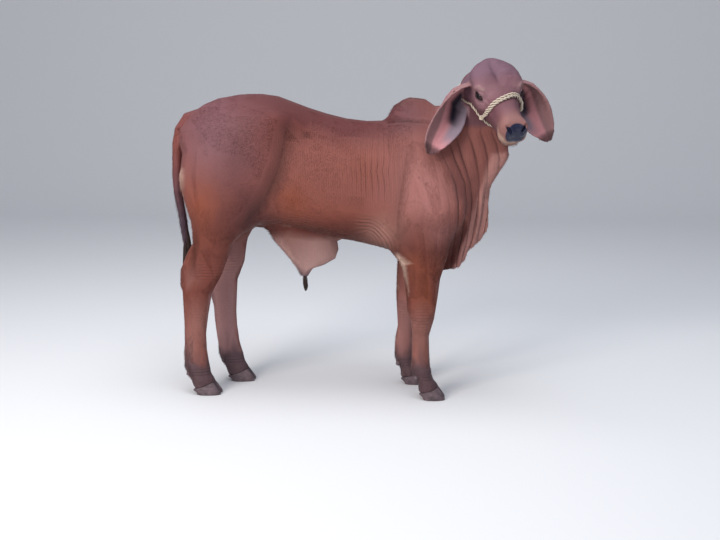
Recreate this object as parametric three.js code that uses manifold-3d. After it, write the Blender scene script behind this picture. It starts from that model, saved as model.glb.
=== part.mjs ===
// A life-size model of a young red Brahman bull. It stands square, its head turned to its right, in a rope
// halter. Millimetres. +X runs from tail to head, +Y to the animal's left, +Z up. The soles stand on z = 0.
import * as THREE from 'three';
import { mergeVertices } from 'three/addons/utils/BufferGeometryUtils.js';
import Module from 'manifold-3d';

const wasm = await Module();
wasm.setup();

// Driving dimensions
const hipHeight = 1296;
const chestFloor = 606;
const poll = [536, -62, 1434];
const headYaw = 72;
const headNod = 37;
const headRoll = 6.5;
const eyeRadius = 18.5;
const earThickness = 7;
const ropeRadius = 5.5;
const strapRadius = 4.5;
const coronetHeight = 46;
const coronetRise = 0.36;
const clawGap = 7;
const gap = 0.3;

const { lerp, clamp, degToRad } = THREE.MathUtils;
const vector = (...xyz) => new THREE.Vector3(...xyz);

// Fields. A field gives, for a point, about how far it is outside a form, or inside it when negative.

// Two fields joined with a fillet about k wide.
function blend(a, b, k) {
  const h = Math.max(k - Math.abs(a - b), 0) / k;
  return Math.min(a, b) - (h * h * k) / 4;
}

// A smooth curve through [place, value] pairs, flat beyond its ends.
function profile(...pairs) {
  const slope = pairs.map((pair, i) => {
    const before = pairs[Math.max(i - 1, 0)];
    const after = pairs[Math.min(i + 1, pairs.length - 1)];
    return (after[1] - before[1]) / (after[0] - before[0]);
  });
  return (place) => {
    const at = clamp(place, pairs[0][0], pairs.at(-1)[0]);
    let i = 0;
    while (i < pairs.length - 2 && at > pairs[i + 1][0]) i++;
    const span = pairs[i + 1][0] - pairs[i][0];
    const t = (at - pairs[i][0]) / span;
    const rise = t * t * (3 - 2 * t);
    const bend = span * t * (1 - t) * ((1 - t) * slope[i] - t * slope[i + 1]);
    return lerp(pairs[i][1], pairs[i + 1][1], rise) + bend;
  };
}

// An egg of three half-sizes, its nose dipped by nod degrees and turned by turn degrees to the left.
const farOff = 160;

function egg([cx, cy, cz], [rx, ry, rz], nod = 0, turn = 0) {
  const [cn, sn] = [Math.cos(degToRad(nod)), Math.sin(degToRad(nod))];
  const [ct, st] = [Math.cos(degToRad(turn)), Math.sin(degToRad(turn))];
  const ball = Math.max(rx, ry, rz);
  return (x, y, z) => {
    const off = Math.hypot(x - cx, y - cy, z - cz) - ball;
    if (off > farOff) return off;
    const ahead = ct * (x - cx) + st * (y - cy);
    const left = ct * (y - cy) - st * (x - cx);
    const a = (cn * ahead - sn * (z - cz)) / rx;
    const b = left / ry;
    const c = (sn * ahead + cn * (z - cz)) / rz;
    const size = Math.hypot(a, b, c);
    const steepness = Math.hypot(a / rx, b / ry, c / rz);
    return steepness < 1e-9 ? -Math.min(rx, ry, rz) : (size * (size - 1)) / steepness;
  };
}

// A form lofted along x, or along z when upright. Its section at each place has an upper and a lower edge
// (a front and a back one when upright), a half-width to either side of the middle, and is widest at the
// waist.
function loft({ from, to, upper, lower, half, waist, middle = () => 0, square = 2, upright = false }) {
  return (x, y, z) => {
    const [along, across] = upright ? [z, x] : [x, z];
    const end = Math.max(from - along, along - to);
    if (end > farOff) return end;
    const at = clamp(along, from, to);
    const centre = waist(at);
    const rise = across - centre;
    const reach = rise > 0 ? upper(at) - centre : centre - lower(at);
    const aside = y - middle(at);
    const [wide, tall] = [Math.abs(aside) / half(at), Math.abs(rise) / reach];
    const size = (wide ** square + tall ** square) ** (1 / square);
    const side = size < 1e-6 ? -reach : Math.hypot(aside, rise) * (1 - 1 / size);
    return Math.hypot(Math.max(side, 0), Math.max(end, 0)) + Math.min(Math.max(side, end), 0);
  };
}

function catmull(a, b, c, d, t) {
  const bend = (2 * a - 5 * b + 4 * c - d) * t ** 2 + (3 * b - a - 3 * c + d) * t ** 3;
  return 0.5 * (2 * b + (c - a) * t + bend);
}

// A limb along a smooth line. Each station is [x, y, z, front, back, side]: a point of the line, and how
// far the flesh reaches from it towards the front direction, away from it, and to either side.
function limb(front, ...stations) {
  const steps = 4;
  const knots = [];
  for (let i = 0; i + 1 < stations.length; i++) {
    const four = [i - 1, i, i + 1, i + 2].map((k) => stations[clamp(k, 0, stations.length - 1)]);
    for (let s = 0; s < steps; s++)
      knots.push(stations[0].map((_, k) => catmull(...four.map((station) => station[k]), s / steps)));
  }
  knots.push(stations.at(-1));
  const spans = knots.slice(1).map((end, i) => {
    const start = knots[i];
    const axis = vector(end[0] - start[0], end[1] - start[1], end[2] - start[2]);
    const length = axis.length();
    axis.divideScalar(length);
    const ahead = vector(...front).addScaledVector(axis, -axis.dot(vector(...front))).normalize();
    return { start, end, length, axis, ahead };
  });
  const middle = knots[knots.length >> 1];
  const ball = Math.max(...knots.map((knot) => apart(knot, middle) + Math.max(knot[3], knot[4], knot[5])));
  return (x, y, z) => {
    const off = apart([x, y, z], middle) - ball;
    if (off > farOff) return off;
    let best = Infinity;
    let nearest = null;
    let share = 0;
    for (const span of spans) {
      const [dx, dy, dz] = [x - span.start[0], y - span.start[1], z - span.start[2]];
      const run = dx * span.axis.x + dy * span.axis.y + dz * span.axis.z;
      const move = clamp(run, 0, span.length);
      const [ox, oy, oz] = [dx - move * span.axis.x, dy - move * span.axis.y, dz - move * span.axis.z];
      const far = ox ** 2 + oy ** 2 + oz ** 2;
      if (far < best) [best, nearest, share] = [far, span, move / span.length];
    }
    const { start, end, axis, ahead } = nearest;
    const dx = x - lerp(start[0], end[0], share);
    const dy = y - lerp(start[1], end[1], share);
    const dz = z - lerp(start[2], end[2], share);
    const past = dx * axis.x + dy * axis.y + dz * axis.z;
    const fore = dx * ahead.x + dy * ahead.y + dz * ahead.z;
    const beside = Math.sqrt(Math.max(dx * dx + dy * dy + dz * dz - past * past - fore * fore, 0));
    const reach = fore > 0 ? lerp(start[3], end[3], share) : lerp(start[4], end[4], share);
    const width = lerp(start[5], end[5], share);
    const size = Math.hypot(fore / reach, beside / width, past / Math.min(reach, width));
    return size < 1e-6 ? -Math.min(reach, width) : Math.hypot(fore, beside, past) * (1 - 1 / size);
  };
}

function apart(a, b) {
  return Math.hypot(a[0] - b[0], a[1] - b[1], a[2] - b[2]);
}

const mirrored = (field) => (x, y, z) => field(x, Math.abs(y), z);

// A first form with others joined to it one after another, each given as [field, fillet].
function joined(first, ...others) {
  return (x, y, z) => others.reduce((sum, [field, k]) => blend(sum, field(x, y, z), k), first(x, y, z));
}

// Trunk
const barrel = loft({
  from: -748,
  to: 440,
  upper: profile(
    [-748, 1176], [-732, 1204], [-667, 1254], [-584, 1282], [-460, hipHeight], [-357, 1288], [-267, 1257],
    [-177, 1226], [-88, 1201], [2, 1186], [100, 1184], [200, 1186], [300, 1180], [440, 1080]
  ),
  lower: profile(
    [-748, 1060], [-700, 900], [-640, 800], [-520, 722], [-400, 742], [-280, 732], [-160, 702], [-20, 674],
    [110, 642], [220, chestFloor + 4], [330, chestFloor], [440, 700]
  ),
  half: profile(
    [-748, 60], [-700, 104], [-620, 146], [-520, 176], [-400, 180], [-300, 184], [-200, 196], [-80, 206],
    [40, 204], [150, 186], [260, 160], [350, 134], [440, 96]
  ),
  waist: profile(
    [-740, 1100], [-560, 1050], [-400, 1010], [-250, 940], [-100, 905], [60, 890], [200, 870], [440, 880]
  ),
  square: 2.15,
});

const hip = egg([-446, 100, 1150], [190, 96, 112], 4);
const hook = egg([-326, 158, 1188], [66, 36, 36], 14, -12);
const pin = egg([-712, 72, 1118], [52, 38, 54], 30);
const bladeOfShoulder = limb(
  [1, 0, 0],
  [206, 60, 1166, 40, 54, 26],
  [256, 106, 1050, 80, 92, 44],
  [306, 130, 930, 92, 118, 54],
  [340, 138, 830, 86, 122, 54]
);
const pointOfShoulder = egg([392, 118, 806], [56, 52, 70], 20, -20);
const upperArm = egg([258, 142, 790], [104, 52, 136], 18);
const elbow = egg([196, 138, 668], [44, 32, 52]);

// The hump leans back over the withers. The brisket is a keel between the forelegs.
const hump = egg([232, 0, 1184], [114, 58, 100], 8);
const brisket = loft({
  from: 210,
  to: 452,
  upper: profile([210, 660], [452, 700]),
  lower: profile([210, 602], [300, 548], [352, 518], [392, 548], [436, 580], [452, 610]),
  half: profile([210, 40], [340, 36], [452, 22]),
  waist: profile([210, 640], [452, 660]),
});

const neck = limb(
  [-0.55, 0, 0.83],
  [190, 0, 985, 200, 260, 128],
  [310, -2, 1020, 196, 250, 118],
  [408, -4, 1108, 146, 206, 92],
  [468, -8, 1220, 106, 146, 78],
  [504, -18, 1318, 84, 112, 72]
);

// The dewlap hangs from the throat to the brisket as a thin sheet of skin.
const dewlap = loft({
  upright: true,
  from: 560,
  to: 1230,
  upper: profile(
    [560, 424], [605, 456], [633, 463], [648, 487], [679, 522], [716, 545], [765, 553], [825, 557],
    [886, 552], [921, 557], [951, 578], [1005, 608], [1040, 628], [1080, 632], [1130, 614], [1185, 582],
    [1230, 540]
  ),
  lower: profile([560, 300], [1080, 400], [1230, 430]),
  half: profile([560, 26], [640, 24], [760, 25], [900, 28], [1000, 32], [1080, 40], [1160, 50], [1230, 50]),
  waist: profile([560, 380], [700, 440], [900, 480], [1080, 510], [1230, 490]),
  middle: profile(
    [560, 0], [700, -4], [820, -14], [920, -28], [1000, -42], [1080, -50], [1160, -42], [1230, -22]
  ),
  square: 2.4,
});

// The sheath is a fold of skin under the belly, with the navel flap in front and the opening at its lowest
// point.
const sheath = loft({
  upright: true,
  from: 492,
  to: 760,
  upper: profile(
    [492, -236], [530, -216], [548, -202], [560, -160], [587, -112], [624, -92], [680, -96], [760, -60]
  ),
  lower: profile([492, -252], [523, -268], [556, -285], [612, -330], [686, -390], [760, -430]),
  half: profile([492, 11], [530, 17], [560, 22], [620, 32], [690, 44], [760, 60]),
  waist: profile([492, -243], [560, -236], [760, -240]),
});

const scrotum = joined(
  limb([1, 0, 0], [-618, 0, 800, 44, 44, 40], [-624, 0, 724, 32, 34, 34]),
  [mirrored(egg([-626, 22, 664], [42, 30, 56])), 24]
);

// Legs. Each is one loft from the floor into the body; lean moves it along x at each height, for the far
// legs' stance.
const noLean = () => 0;

function hindLeg(side, lean) {
  const front = profile(
    [20, -622], [60, -632], [100, -650], [160, -662], [246, -664], [331, -656], [388, -643], [450, -633],
    [507, -603], [551, -576], [612, -558], [665, -534], [700, -503], [745, -446], [800, -400], [880, -378],
    [990, -400], [1110, -470]
  );
  const back = profile(
    [20, -728], [54, -730], [94, -752], [158, -764], [244, -765], [358, -766], [500, -766], [543, -770],
    [599, -749], [638, -726], [673, -706], [761, -708], [821, -732], [913, -752], [995, -752], [1110, -700]
  );
  const widest = profile(
    [20, -676], [100, -704], [360, -706], [450, -690], [545, -636], [640, -636], [760, -590], [1110, -570]
  );
  return loft({
    upright: true,
    from: 20,
    to: 1110,
    upper: (z) => front(z) + lean(z),
    lower: (z) => back(z) + lean(z),
    half: profile(
      [20, 46], [60, 43], [100, 38], [170, 34], [250, 28], [350, 30], [450, 37], [540, 39], [610, 42],
      [680, 54], [760, 70], [860, 86], [970, 90], [1050, 76], [1110, 50]
    ),
    waist: (z) => widest(z) + lean(z),
    middle: profile(
      [20, side * 106], [540, side * 118], [700, side * 126], [970, side * 114], [1110, side * 84]
    ),
  });
}

function foreLeg(side, lean) {
  const front = profile(
    [20, 350], [60, 344], [102, 316], [165, 309], [262, 307], [320, 312], [368, 326], [416, 334],
    [481, 340], [537, 348], [602, 372], [690, 392], [800, 340]
  );
  const back = profile(
    [20, 262], [61, 262], [119, 238], [163, 231], [261, 232], [318, 227], [392, 216], [479, 204],
    [544, 198], [587, 192], [628, 166], [690, 150], [800, 220]
  );
  return loft({
    upright: true,
    from: 20,
    to: 800,
    upper: (z) => front(z) + lean(z),
    lower: (z) => back(z) + lean(z),
    half: profile(
      [20, 46], [60, 43], [100, 38], [160, 35], [250, 28], [310, 31], [370, 39], [430, 38], [500, 44],
      [580, 52], [690, 56], [800, 34]
    ),
    waist: (z) => lerp(front(z), back(z), 0.5) + lean(z),
    middle: profile(
      [20, side * 112], [430, side * 116], [600, side * 130], [690, side * 134], [800, side * 128]
    ),
  });
}

const feet = [
  { name: 'hind_right', side: -1, toe: -600, leg: hindLeg, lean: noLean },
  {
    name: 'hind_left',
    side: 1,
    toe: -489,
    leg: hindLeg,
    lean: profile([0, 111], [200, 100], [400, 76], [520, 46], [700, 16], [800, 0]),
  },
  { name: 'fore_right', side: -1, toe: 380, leg: foreLeg, lean: noLean },
  {
    name: 'fore_left',
    side: 1,
    toe: 296,
    leg: foreLeg,
    lean: profile([0, -84], [200, -76], [400, -56], [600, -26], [700, -10]),
  },
];

const bodyForms = joined(
  barrel,
  [mirrored(hip), 90],
  [mirrored(hook), 60],
  [mirrored(pin), 50],
  ...feet.map(({ side, leg, lean }) => [leg(side, lean), 74]),
  [mirrored(bladeOfShoulder), 60],
  [mirrored(pointOfShoulder), 55],
  [mirrored(upperArm), 60],
  [mirrored(elbow), 40],
  [hump, 34],
  [neck, 60],
  [brisket, 40],
  [dewlap, 44],
  [sheath, 26],
  [scrotum, 24]
);

// The head has a frame of its own: origin at the poll, x down the face to the nose, y left, z out of the
// forehead.
const skull = loft({
  from: -6,
  to: 386,
  upper: profile(
    [-6, -34], [24, -6], [80, 10], [150, 4], [220, -8], [290, -16], [350, -24], [376, -34], [386, -48]
  ),
  lower: profile(
    [-6, -110], [24, -150], [90, -168], [150, -156], [220, -138], [300, -126], [360, -116], [386, -100]
  ),
  half: profile(
    [-6, 52], [24, 76], [66, 90], [130, 92], [190, 72], [250, 55], [320, 47], [366, 46], [386, 38]
  ),
  waist: profile([-6, -70], [80, -52], [150, -64], [230, -84], [330, -80], [386, -76]),
  square: 2.6,
});

const jaw = loft({
  from: 46,
  to: 362,
  upper: profile([46, -90], [362, -112]),
  lower: profile([46, -176], [86, -204], [130, -200], [200, -174], [270, -158], [330, -150], [362, -138]),
  half: profile([46, 44], [90, 62], [140, 62], [210, 50], [280, 40], [340, 34], [362, 24]),
  waist: profile([46, -130], [200, -130], [362, -126]),
  square: 2.3,
});

const eyePlace = [168, 84, -44];
const earRoot = [74, 86, -86];

const headForms = joined(
  skull,
  [jaw, 24],
  [egg([34, 0, -12], [46, 52, 32]), 34],
  [mirrored(egg([84, 54, -18], [62, 42, 30])), 30],
  [mirrored(egg([112, 56, -112], [78, 28, 64])), 40],
  [mirrored(egg([138, 74, -22], [48, 25, 21], 8)), 26],
  [mirrored(egg([168, 70, -78], [46, 20, 18], 0, 12)), 26],
  [mirrored(egg([360, 14, -70], [32, 36, 40])), 26],
  [mirrored(egg([370, 30, -58], [26, 20, 26])), 18],
  [mirrored(egg([356, 26, -104], [38, 30, 18])), 16],
  [mirrored(egg([334, 10, -140], [38, 30, 17])), 16],
  [mirrored(egg(earRoot, [26, 20, 26])), 22]
);

const headFrame = new THREE.Matrix4()
  .makeTranslation(...poll)
  .multiply(new THREE.Matrix4().makeRotationZ(degToRad(-headYaw)))
  .multiply(new THREE.Matrix4().makeRotationY(degToRad(headNod)))
  .multiply(new THREE.Matrix4().makeRotationX(degToRad(headRoll)));
const intoHead = headFrame.clone().invert().elements;
const inHead = (...xyz) => vector(...xyz).applyMatrix4(headFrame);
const headward = (...xyz) => vector(...xyz).transformDirection(headFrame);
const headCentre = inHead(190, 0, -90).toArray();
const headBall = 290;

function headField(x, y, z) {
  const off = apart([x, y, z], headCentre) - headBall;
  if (off > farOff) return off;
  const m = intoHead;
  const own = [0, 1, 2].map((k) => m[k] * x + m[k + 4] * y + m[k + 8] * z + m[k + 12]);
  return headForms(...own);
}

const wholeField = (x, y, z) => blend(bodyForms(x, y, z), headField(x, y, z), 40);

// Surfaces and solids

const corners = [0, 1, 2, 3, 4, 5, 6, 7].map((n) => [n & 1, (n >> 1) & 1, n >> 2]);
const cornerPairs = corners.flatMap((p, i) => corners.slice(i + 1).map((q) => [p, q]));
const cellEdges = cornerPairs.filter(([p, q]) => apart(p, q) === 1);
const axes = [[1, 0, 0], [0, 1, 0], [0, 0, 1]];

// Moves a point onto a level of a field, by no more than reach.
function ontoSurface(field, start, reach, level) {
  const h = 0.5;
  let place = start;
  for (let turn = 0; turn < 4; turn++) {
    const [x, y, z] = place;
    const slope = axes.map(([i, j, k]) => {
      return (field(x + i * h, y + j * h, z + k * h) - field(x - i * h, y - j * h, z - k * h)) / (2 * h);
    });
    const steep = slope[0] ** 2 + slope[1] ** 2 + slope[2] ** 2 || 1;
    const move = clamp((field(...place) - level) / steep, -reach, reach);
    const next = place.map((p, k) => p - move * slope[k]);
    if (apart(next, start) > 1.6 * reach) break;
    place = next;
  }
  return place;
}

// The surface of a field inside a box, with one point in each cell that it passes through. Where level is
// above 0 the same surface is grown outward by that much.
function surfaceOf(field, [low, high, cell], level = 0) {
  const cells = [0, 1, 2].map((k) => Math.max(2, Math.round((high[k] - low[k]) / (cell[k] ?? cell))));
  const step = [0, 1, 2].map((k) => (high[k] - low[k]) / cells[k]);
  const [nx, ny, nz] = cells.map((n) => n + 1);
  const at = (i, j, k) => (k * ny + j) * nx + i;
  const value = new Float64Array(nx * ny * nz);
  const eachCell = (visit) => {
    for (let k = 0; k < nz - 1; k++)
      for (let j = 0; j < ny - 1; j++)
        for (let i = 0; i < nx - 1; i++) visit(i, j, k);
  };
  for (let k = 0; k < nz; k++)
    for (let j = 0; j < ny; j++)
      for (let i = 0; i < nx; i++) {
        const edge = i === 0 || j === 0 || k === 0 || i === nx - 1 || j === ny - 1 || k === nz - 1;
        const here = field(low[0] + i * step[0], low[1] + j * step[1], low[2] + k * step[2]);
        value[at(i, j, k)] = edge ? Math.max(here, step[0] / 3) : here;
      }
  const points = [];
  const pointIn = new Map();
  eachCell((i, j, k) => {
    const sum = [0, 0, 0];
    let crossings = 0;
    for (const [p, q] of cellEdges) {
      const a = value[at(i + p[0], j + p[1], k + p[2])];
      const b = value[at(i + q[0], j + q[1], k + q[2])];
      if (a < 0 === b < 0) continue;
      crossings++;
      for (let c = 0; c < 3; c++) sum[c] += lerp(p[c], q[c], a / (a - b));
    }
    if (!crossings) return;
    pointIn.set(at(i, j, k), points.length);
    const place = [i, j, k].map((n, c) => low[c] + (n + sum[c] / crossings) * step[c]);
    const inside = [i, j, k].every((n, c) => n > 0 && n < cells[c] - 1);
    points.push(inside ? ontoSurface(field, place, 0.45 * Math.min(...step), level) : place);
  });
  const faces = [];
  eachCell((i, j, k) => {
    axes.forEach((d, axis) => {
      const a = value[at(i, j, k)] < 0;
      const b = value[at(i + d[0], j + d[1], k + d[2])] < 0;
      if (a === b) return;
      const [u, v] = [axes[(axis + 1) % 3], axes[(axis + 2) % 3]];
      const ring = [[0, 0], [1, 0], [1, 1], [0, 1]].map(([m, n]) =>
        pointIn.get(at(i - m * u[0] - n * v[0], j - m * u[1] - n * v[1], k - m * u[2] - n * v[2]))
      );
      if (!a) ring.reverse();
      const [p, q, r, s] = ring;
      if (apart(points[p], points[r]) < apart(points[q], points[s])) faces.push(p, q, r, p, r, s);
      else faces.push(q, r, s, q, s, p);
    });
  });
  return solidFrom(points, faces);
}

function solidFrom(points, faces) {
  const vertProperties = new Float32Array(points.flat());
  return new wasm.Manifold(new wasm.Mesh({ numProp: 3, vertProperties, triVerts: new Uint32Array(faces) }));
}

// A closed three.js geometry as a solid.
function solidOf(geometry) {
  const bare = new THREE.BufferGeometry().setAttribute('position', geometry.getAttribute('position'));
  if (geometry.index) bare.setIndex(geometry.index);
  const merged = mergeVertices(bare, 1e-3);
  const vertProperties = merged.getAttribute('position').array;
  const triVerts = new Uint32Array(merged.index.array);
  return new wasm.Manifold(new wasm.Mesh({ numProp: 3, vertProperties, triVerts }));
}

// Stacked rings of points as one closed body. The rings turn counter-clockwise seen from the last one.
// Where tip is given the body runs out to that point, and where loop is true the last ring joins the first.
function stacked(rings, { tip = null, loop = false } = {}) {
  const sides = rings[0].length;
  const points = rings.flat();
  const faces = [];
  const spans = loop ? rings.length : rings.length - 1;
  for (let i = 0; i < spans; i++)
    for (let j = 0; j < sides; j++) {
      const [here, next] = [i * sides, ((i + 1) % rings.length) * sides];
      const beside = (j + 1) % sides;
      const [a, b, c, d] = [here + j, here + beside, next + j, next + beside];
      faces.push(a, b, d, a, d, c);
    }
  if (!loop) for (let j = 1; j + 1 < sides; j++) faces.push(0, j + 1, j);
  const last = (rings.length - 1) * sides;
  if (tip) {
    for (let j = 0; j < sides; j++) faces.push(last + j, last + ((j + 1) % sides), points.length);
    points.push(tip);
  } else if (!loop) {
    for (let j = 1; j + 1 < sides; j++) faces.push(last, last + j, last + j + 1);
  }
  return solidFrom(points, faces);
}

// A sweep along a line through points. Its section is width(t) by depth(t) from the middle, with its width
// square to the facing direction. It is closed into a ring where loop is true, and ends in a point where
// pointed is true.
function sweep(points, { steps, sides, width, depth = width, facing, loop = false, pointed = false }) {
  const curve = new THREE.CatmullRomCurve3(points.map((p) => vector(...p)), loop, 'centripetal');
  const rings = [];
  const count = loop || pointed ? steps : steps + 1;
  for (let i = 0; i < count; i++) {
    const t = i / steps;
    const along = curve.getTangentAt(t);
    const middle = curve.getPointAt(t);
    const face = typeof facing === 'function' ? facing(middle) : vector(...facing);
    const across = vector().crossVectors(along, face).normalize();
    const out = vector().crossVectors(across, along);
    const ring = [];
    for (let j = 0; j < sides; j++) {
      const turn = (2 * Math.PI * (j + 0.5)) / sides;
      const place = middle.clone();
      place.addScaledVector(across, width(t) * Math.cos(turn));
      place.addScaledVector(out, -depth(t) * Math.sin(turn));
      ring.push(place.toArray());
    }
    rings.push(ring);
  }
  const tip = pointed ? curve.getPointAt(1).toArray() : null;
  return stacked(rings, { tip, loop });
}

const everywhere = 6000;

// The region beyond every one of the cuts. A cut is a plane's point and normal, and margin moves it
// forward.
function beyond(cuts, margin) {
  const all = solidOf(new THREE.BoxGeometry(everywhere, everywhere, everywhere));
  return cuts.reduce((region, [point, normal]) => {
    const n = vector(...normal).normalize();
    return region.trimByPlane(n.toArray(), n.dot(vector(...point)) + margin);
  }, all);
}

const within = (solid, cuts) => solid.intersect(beyond(cuts, gap / 2));
const without = (solid, cuts) => solid.subtract(beyond(cuts, -gap / 2));

function largest(solid) {
  return solid.decompose().reduce((a, b) => (a.volume() > b.volume() ? a : b));
}

const bull = new THREE.Group();
const coat = { color: 0x7d4032, roughness: 0.75, metalness: 0 };
const muddyCoat = { color: 0x6b4a41, roughness: 0.85, metalness: 0 };
const paleSkin = { color: 0xb08476, roughness: 0.7, metalness: 0 };
const darkSkin = { color: 0x2b2a33, roughness: 0.3, metalness: 0 };
const darkHair = { color: 0x2a1a1a, roughness: 0.7, metalness: 0 };
const hornGrey = { color: 0x5a5150, roughness: 0.6, metalness: 0 };
const eyeDark = { color: 0x140d0c, roughness: 0.08, metalness: 0 };
const creamRope = { color: 0xc2ac84, roughness: 0.85, metalness: 0 };

function addNode(name, solid, look) {
  const whole = largest(solid);
  const { numProp, numVert, vertProperties, triVerts } = whole.getMesh();
  const places = new Float32Array(numVert * 3);
  for (let i = 0; i < numVert; i++) {
    places.set(vertProperties.subarray(i * numProp, i * numProp + 3), i * 3);
  }
  const geometry = new THREE.BufferGeometry();
  geometry.setAttribute('position', new THREE.BufferAttribute(places, 3));
  geometry.setIndex(new THREE.BufferAttribute(triVerts, 1));
  geometry.computeVertexNormals();
  const mesh = new THREE.Mesh(geometry, new THREE.MeshStandardMaterial(look));
  mesh.name = name;
  bull.add(mesh);
}

const down = [0, 0, -1];
const up = [0, 0, 1];
const forward = [1, 0, 0];
const backward = [-1, 0, 0];
const leftward = [0, 1, 0];
const rightward = [0, -1, 0];

// Where the body is parted. Each region takes what lies beyond its cuts and is in no region before it.
const headCuts = [
  [[425, 0, 1350], [0.85, -0.35, 0.25]],
  [inHead(60, 0, -214).toArray(), headward(-0.2, 0, 0.98).toArray()],
];
const neckRoot = [[315, 0, 1200], [0.95, 0, 0.31]];
const dewlapCuts = [[[430, 0, 620], [0.962, 0, -0.272]], [[0, 0, 1056], down], [[0, 0, 500], up]];
const humpCuts = [[[0, 0, 1196], up], [[112, 0, 0], forward]];

// A foot's coronet is a plane that rises towards the toe.
const coronetAt = (foot, x) => coronetHeight + coronetRise * (x - foot.toe + 62);
const coronet = (foot) => [[foot.toe, 0, coronetAt(foot, foot.toe)], [-coronetRise, 0, 1]];
const fetlock = 136;
const legRegions = [];

for (const foot of feet) {
  const { name, side, toe } = foot;
  const fore = foot.leg === foreLeg;
  const [top, joint] = fore ? [592, 352] : [664, 470];
  const own = [
    [[0, side * 42, 0], side > 0 ? leftward : rightward],
    fore ? [[-100, 0, 0], forward] : [[-380, 0, 0], backward],
  ];
  const [right, left] = side > 0 ? [24, 220] : [-220, -24];
  const between = (high, low) => [...own, [[0, 0, high], down], [[0, 0, low], up]];
  const box = (low, high, cell) => [[toe - 330, right, low], [toe + (fore ? 160 : 260), left, high], cell];
  legRegions.push(
    {
      name: `${name}_${fore ? 'forearm' : 'gaskin'}`,
      cuts: between(top, joint),
      box: box(joint - 50, top + 50, 37),
    },
    { name: `${name}_cannon`, cuts: between(joint, fetlock), box: box(fetlock - 40, joint + 40, 33) },
    {
      name: `${name}_pastern`,
      cuts: [...own, [[0, 0, fetlock], down], coronet(foot)],
      box: box(-10, fetlock + 40, 26),
      look: muddyCoat,
    }
  );
}

const regions = [
  { name: 'head', cuts: headCuts, box: [[390, -480, 980], [790, 160, 1520], 18.2] },
  { name: 'dewlap', cuts: dewlapCuts, box: [[360, -300, 480], [720, 120, 1140], [31, 19, 31]] },
  { name: 'neck', cuts: [neckRoot], box: [[220, -330, 700], [720, 200, 1500], 40] },
  { name: 'hump', cuts: humpCuts, box: [[60, -160, 1110], [400, 160, 1330], 30] },
  {
    name: 'sheath',
    cuts: [
      [[-250, 0, 686], [-0.16, 0, -1]],
      [[-420, 0, 0], forward],
      [[-60, 0, 0], backward],
      [[0, -92, 0], leftward],
      [[0, 92, 0], rightward],
    ],
    box: [[-480, -120, 440], [-30, 120, 800], [28, 18, 25]],
    look: paleSkin,
  },
  {
    name: 'scrotum',
    cuts: [[[0, 0, 742], down], [[-540, 0, 0], backward], [[0, 64, 0], rightward], [[0, -64, 0], leftward]],
    box: [[-740, -100, 560], [-480, 100, 800], 25],
    look: paleSkin,
  },
  ...legRegions,
  { name: 'torso', box: [[-850, -300, 480], [520, 300, 1350], 53] },
];

function flesh(region) {
  let solid = surfaceOf(wholeField, region.box);
  if (region.cuts) solid = within(solid, region.cuts);
  for (const other of regions.slice(0, regions.indexOf(region))) solid = without(solid, other.cuts);
  return solid;
}

const regionNamed = (name) => regions.find((region) => region.name === name);
const grown = (name) => surfaceOf(wholeField, regionNamed(name).box, gap);

// A flat tapering lock of hair through points, its root sunk in what it grows from.
function lock(points, width, depth, facing) {
  const taper = (t) => 1 - 0.75 * t ** 2;
  return sweep(points, {
    steps: 3,
    sides: 4,
    width: (t) => width * taper(t),
    depth: (t) => depth * taper(t),
    facing,
    pointed: true,
  });
}

// Eyes, lids, mouth, nostrils and nose, in the head's frame. Side is -1 on the right and 1 on the left.
const headSweep = (points, options) => sweep(points.map((p) => inHead(...p).toArray()), options);

// The place on the head's skin, or a level above it, that is nearest to a point in the head's frame.
function onHead(near, level = 0) {
  let place = near;
  for (let turn = 0; turn < 3; turn++) place = ontoSurface(headForms, place, 40, level);
  return place;
}

const eyeDepth = 13;

function eyeFrame(side) {
  const look = vector(0.42, side * 0.86, 0.28).normalize();
  const corner = vector(0.86, -side * 0.4, -0.32);
  corner.addScaledVector(look, -corner.dot(look)).normalize();
  const over = vector().crossVectors(look, corner).multiplyScalar(side);
  const skin = vector(...onHead([eyePlace[0], side * eyePlace[1], eyePlace[2]]));
  return { look, corner, over, middle: skin.addScaledVector(look, -eyeDepth) };
}

function eyeball(side, grow = 0) {
  const ball = new THREE.SphereGeometry(eyeRadius + grow, 12, 8);
  ball.translate(...eyeFrame(side).middle.applyMatrix4(headFrame).toArray());
  return solidOf(ball);
}

function lids(side) {
  const { look, corner, over, middle } = eyeFrame(side);
  const rim = [];
  const count = 12;
  for (let i = 0; i < count; i++) {
    const turn = (2 * Math.PI * i) / count;
    const open = lerp(0.66, 1.1, Math.abs(Math.cos(turn)) ** 1.4);
    const out = vector()
      .addScaledVector(look, Math.cos(open))
      .addScaledVector(corner, Math.sin(open) * Math.cos(turn))
      .addScaledVector(over, Math.sin(open) * Math.sin(turn));
    rim.push(middle.clone().addScaledVector(out, eyeRadius + 1.5).toArray());
  }
  const centre = middle.clone().applyMatrix4(headFrame);
  const facing = (p) => p.clone().sub(centre).normalize();
  return headSweep(rim, { steps: 14, sides: 5, width: () => 5, facing, loop: true });
}

function nostril(side) {
  const slot = [[376, side * 40, -36], [386, side * 34, -40], [392, side * 26, -50], [392, side * 20, -64]];
  return headSweep(slot.map((p) => onHead(p, -3)), {
    steps: 6,
    sides: 6,
    width: (t) => lerp(3, 8, Math.sin(Math.PI * t)),
    facing: headward(...forward).toArray(),
  });
}

// The mouth runs from under the nose back along both cheeks.
const mouthLine = [];
for (let i = -8; i <= 8; i++) {
  const back = Math.abs(i) / 8;
  const aside = Math.sign(i) * lerp(12, 58, back ** 0.7);
  mouthLine.push(onHead([lerp(392, 290, back ** 1.6), aside, lerp(-116, -126, back)], -0.5));
}

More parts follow.
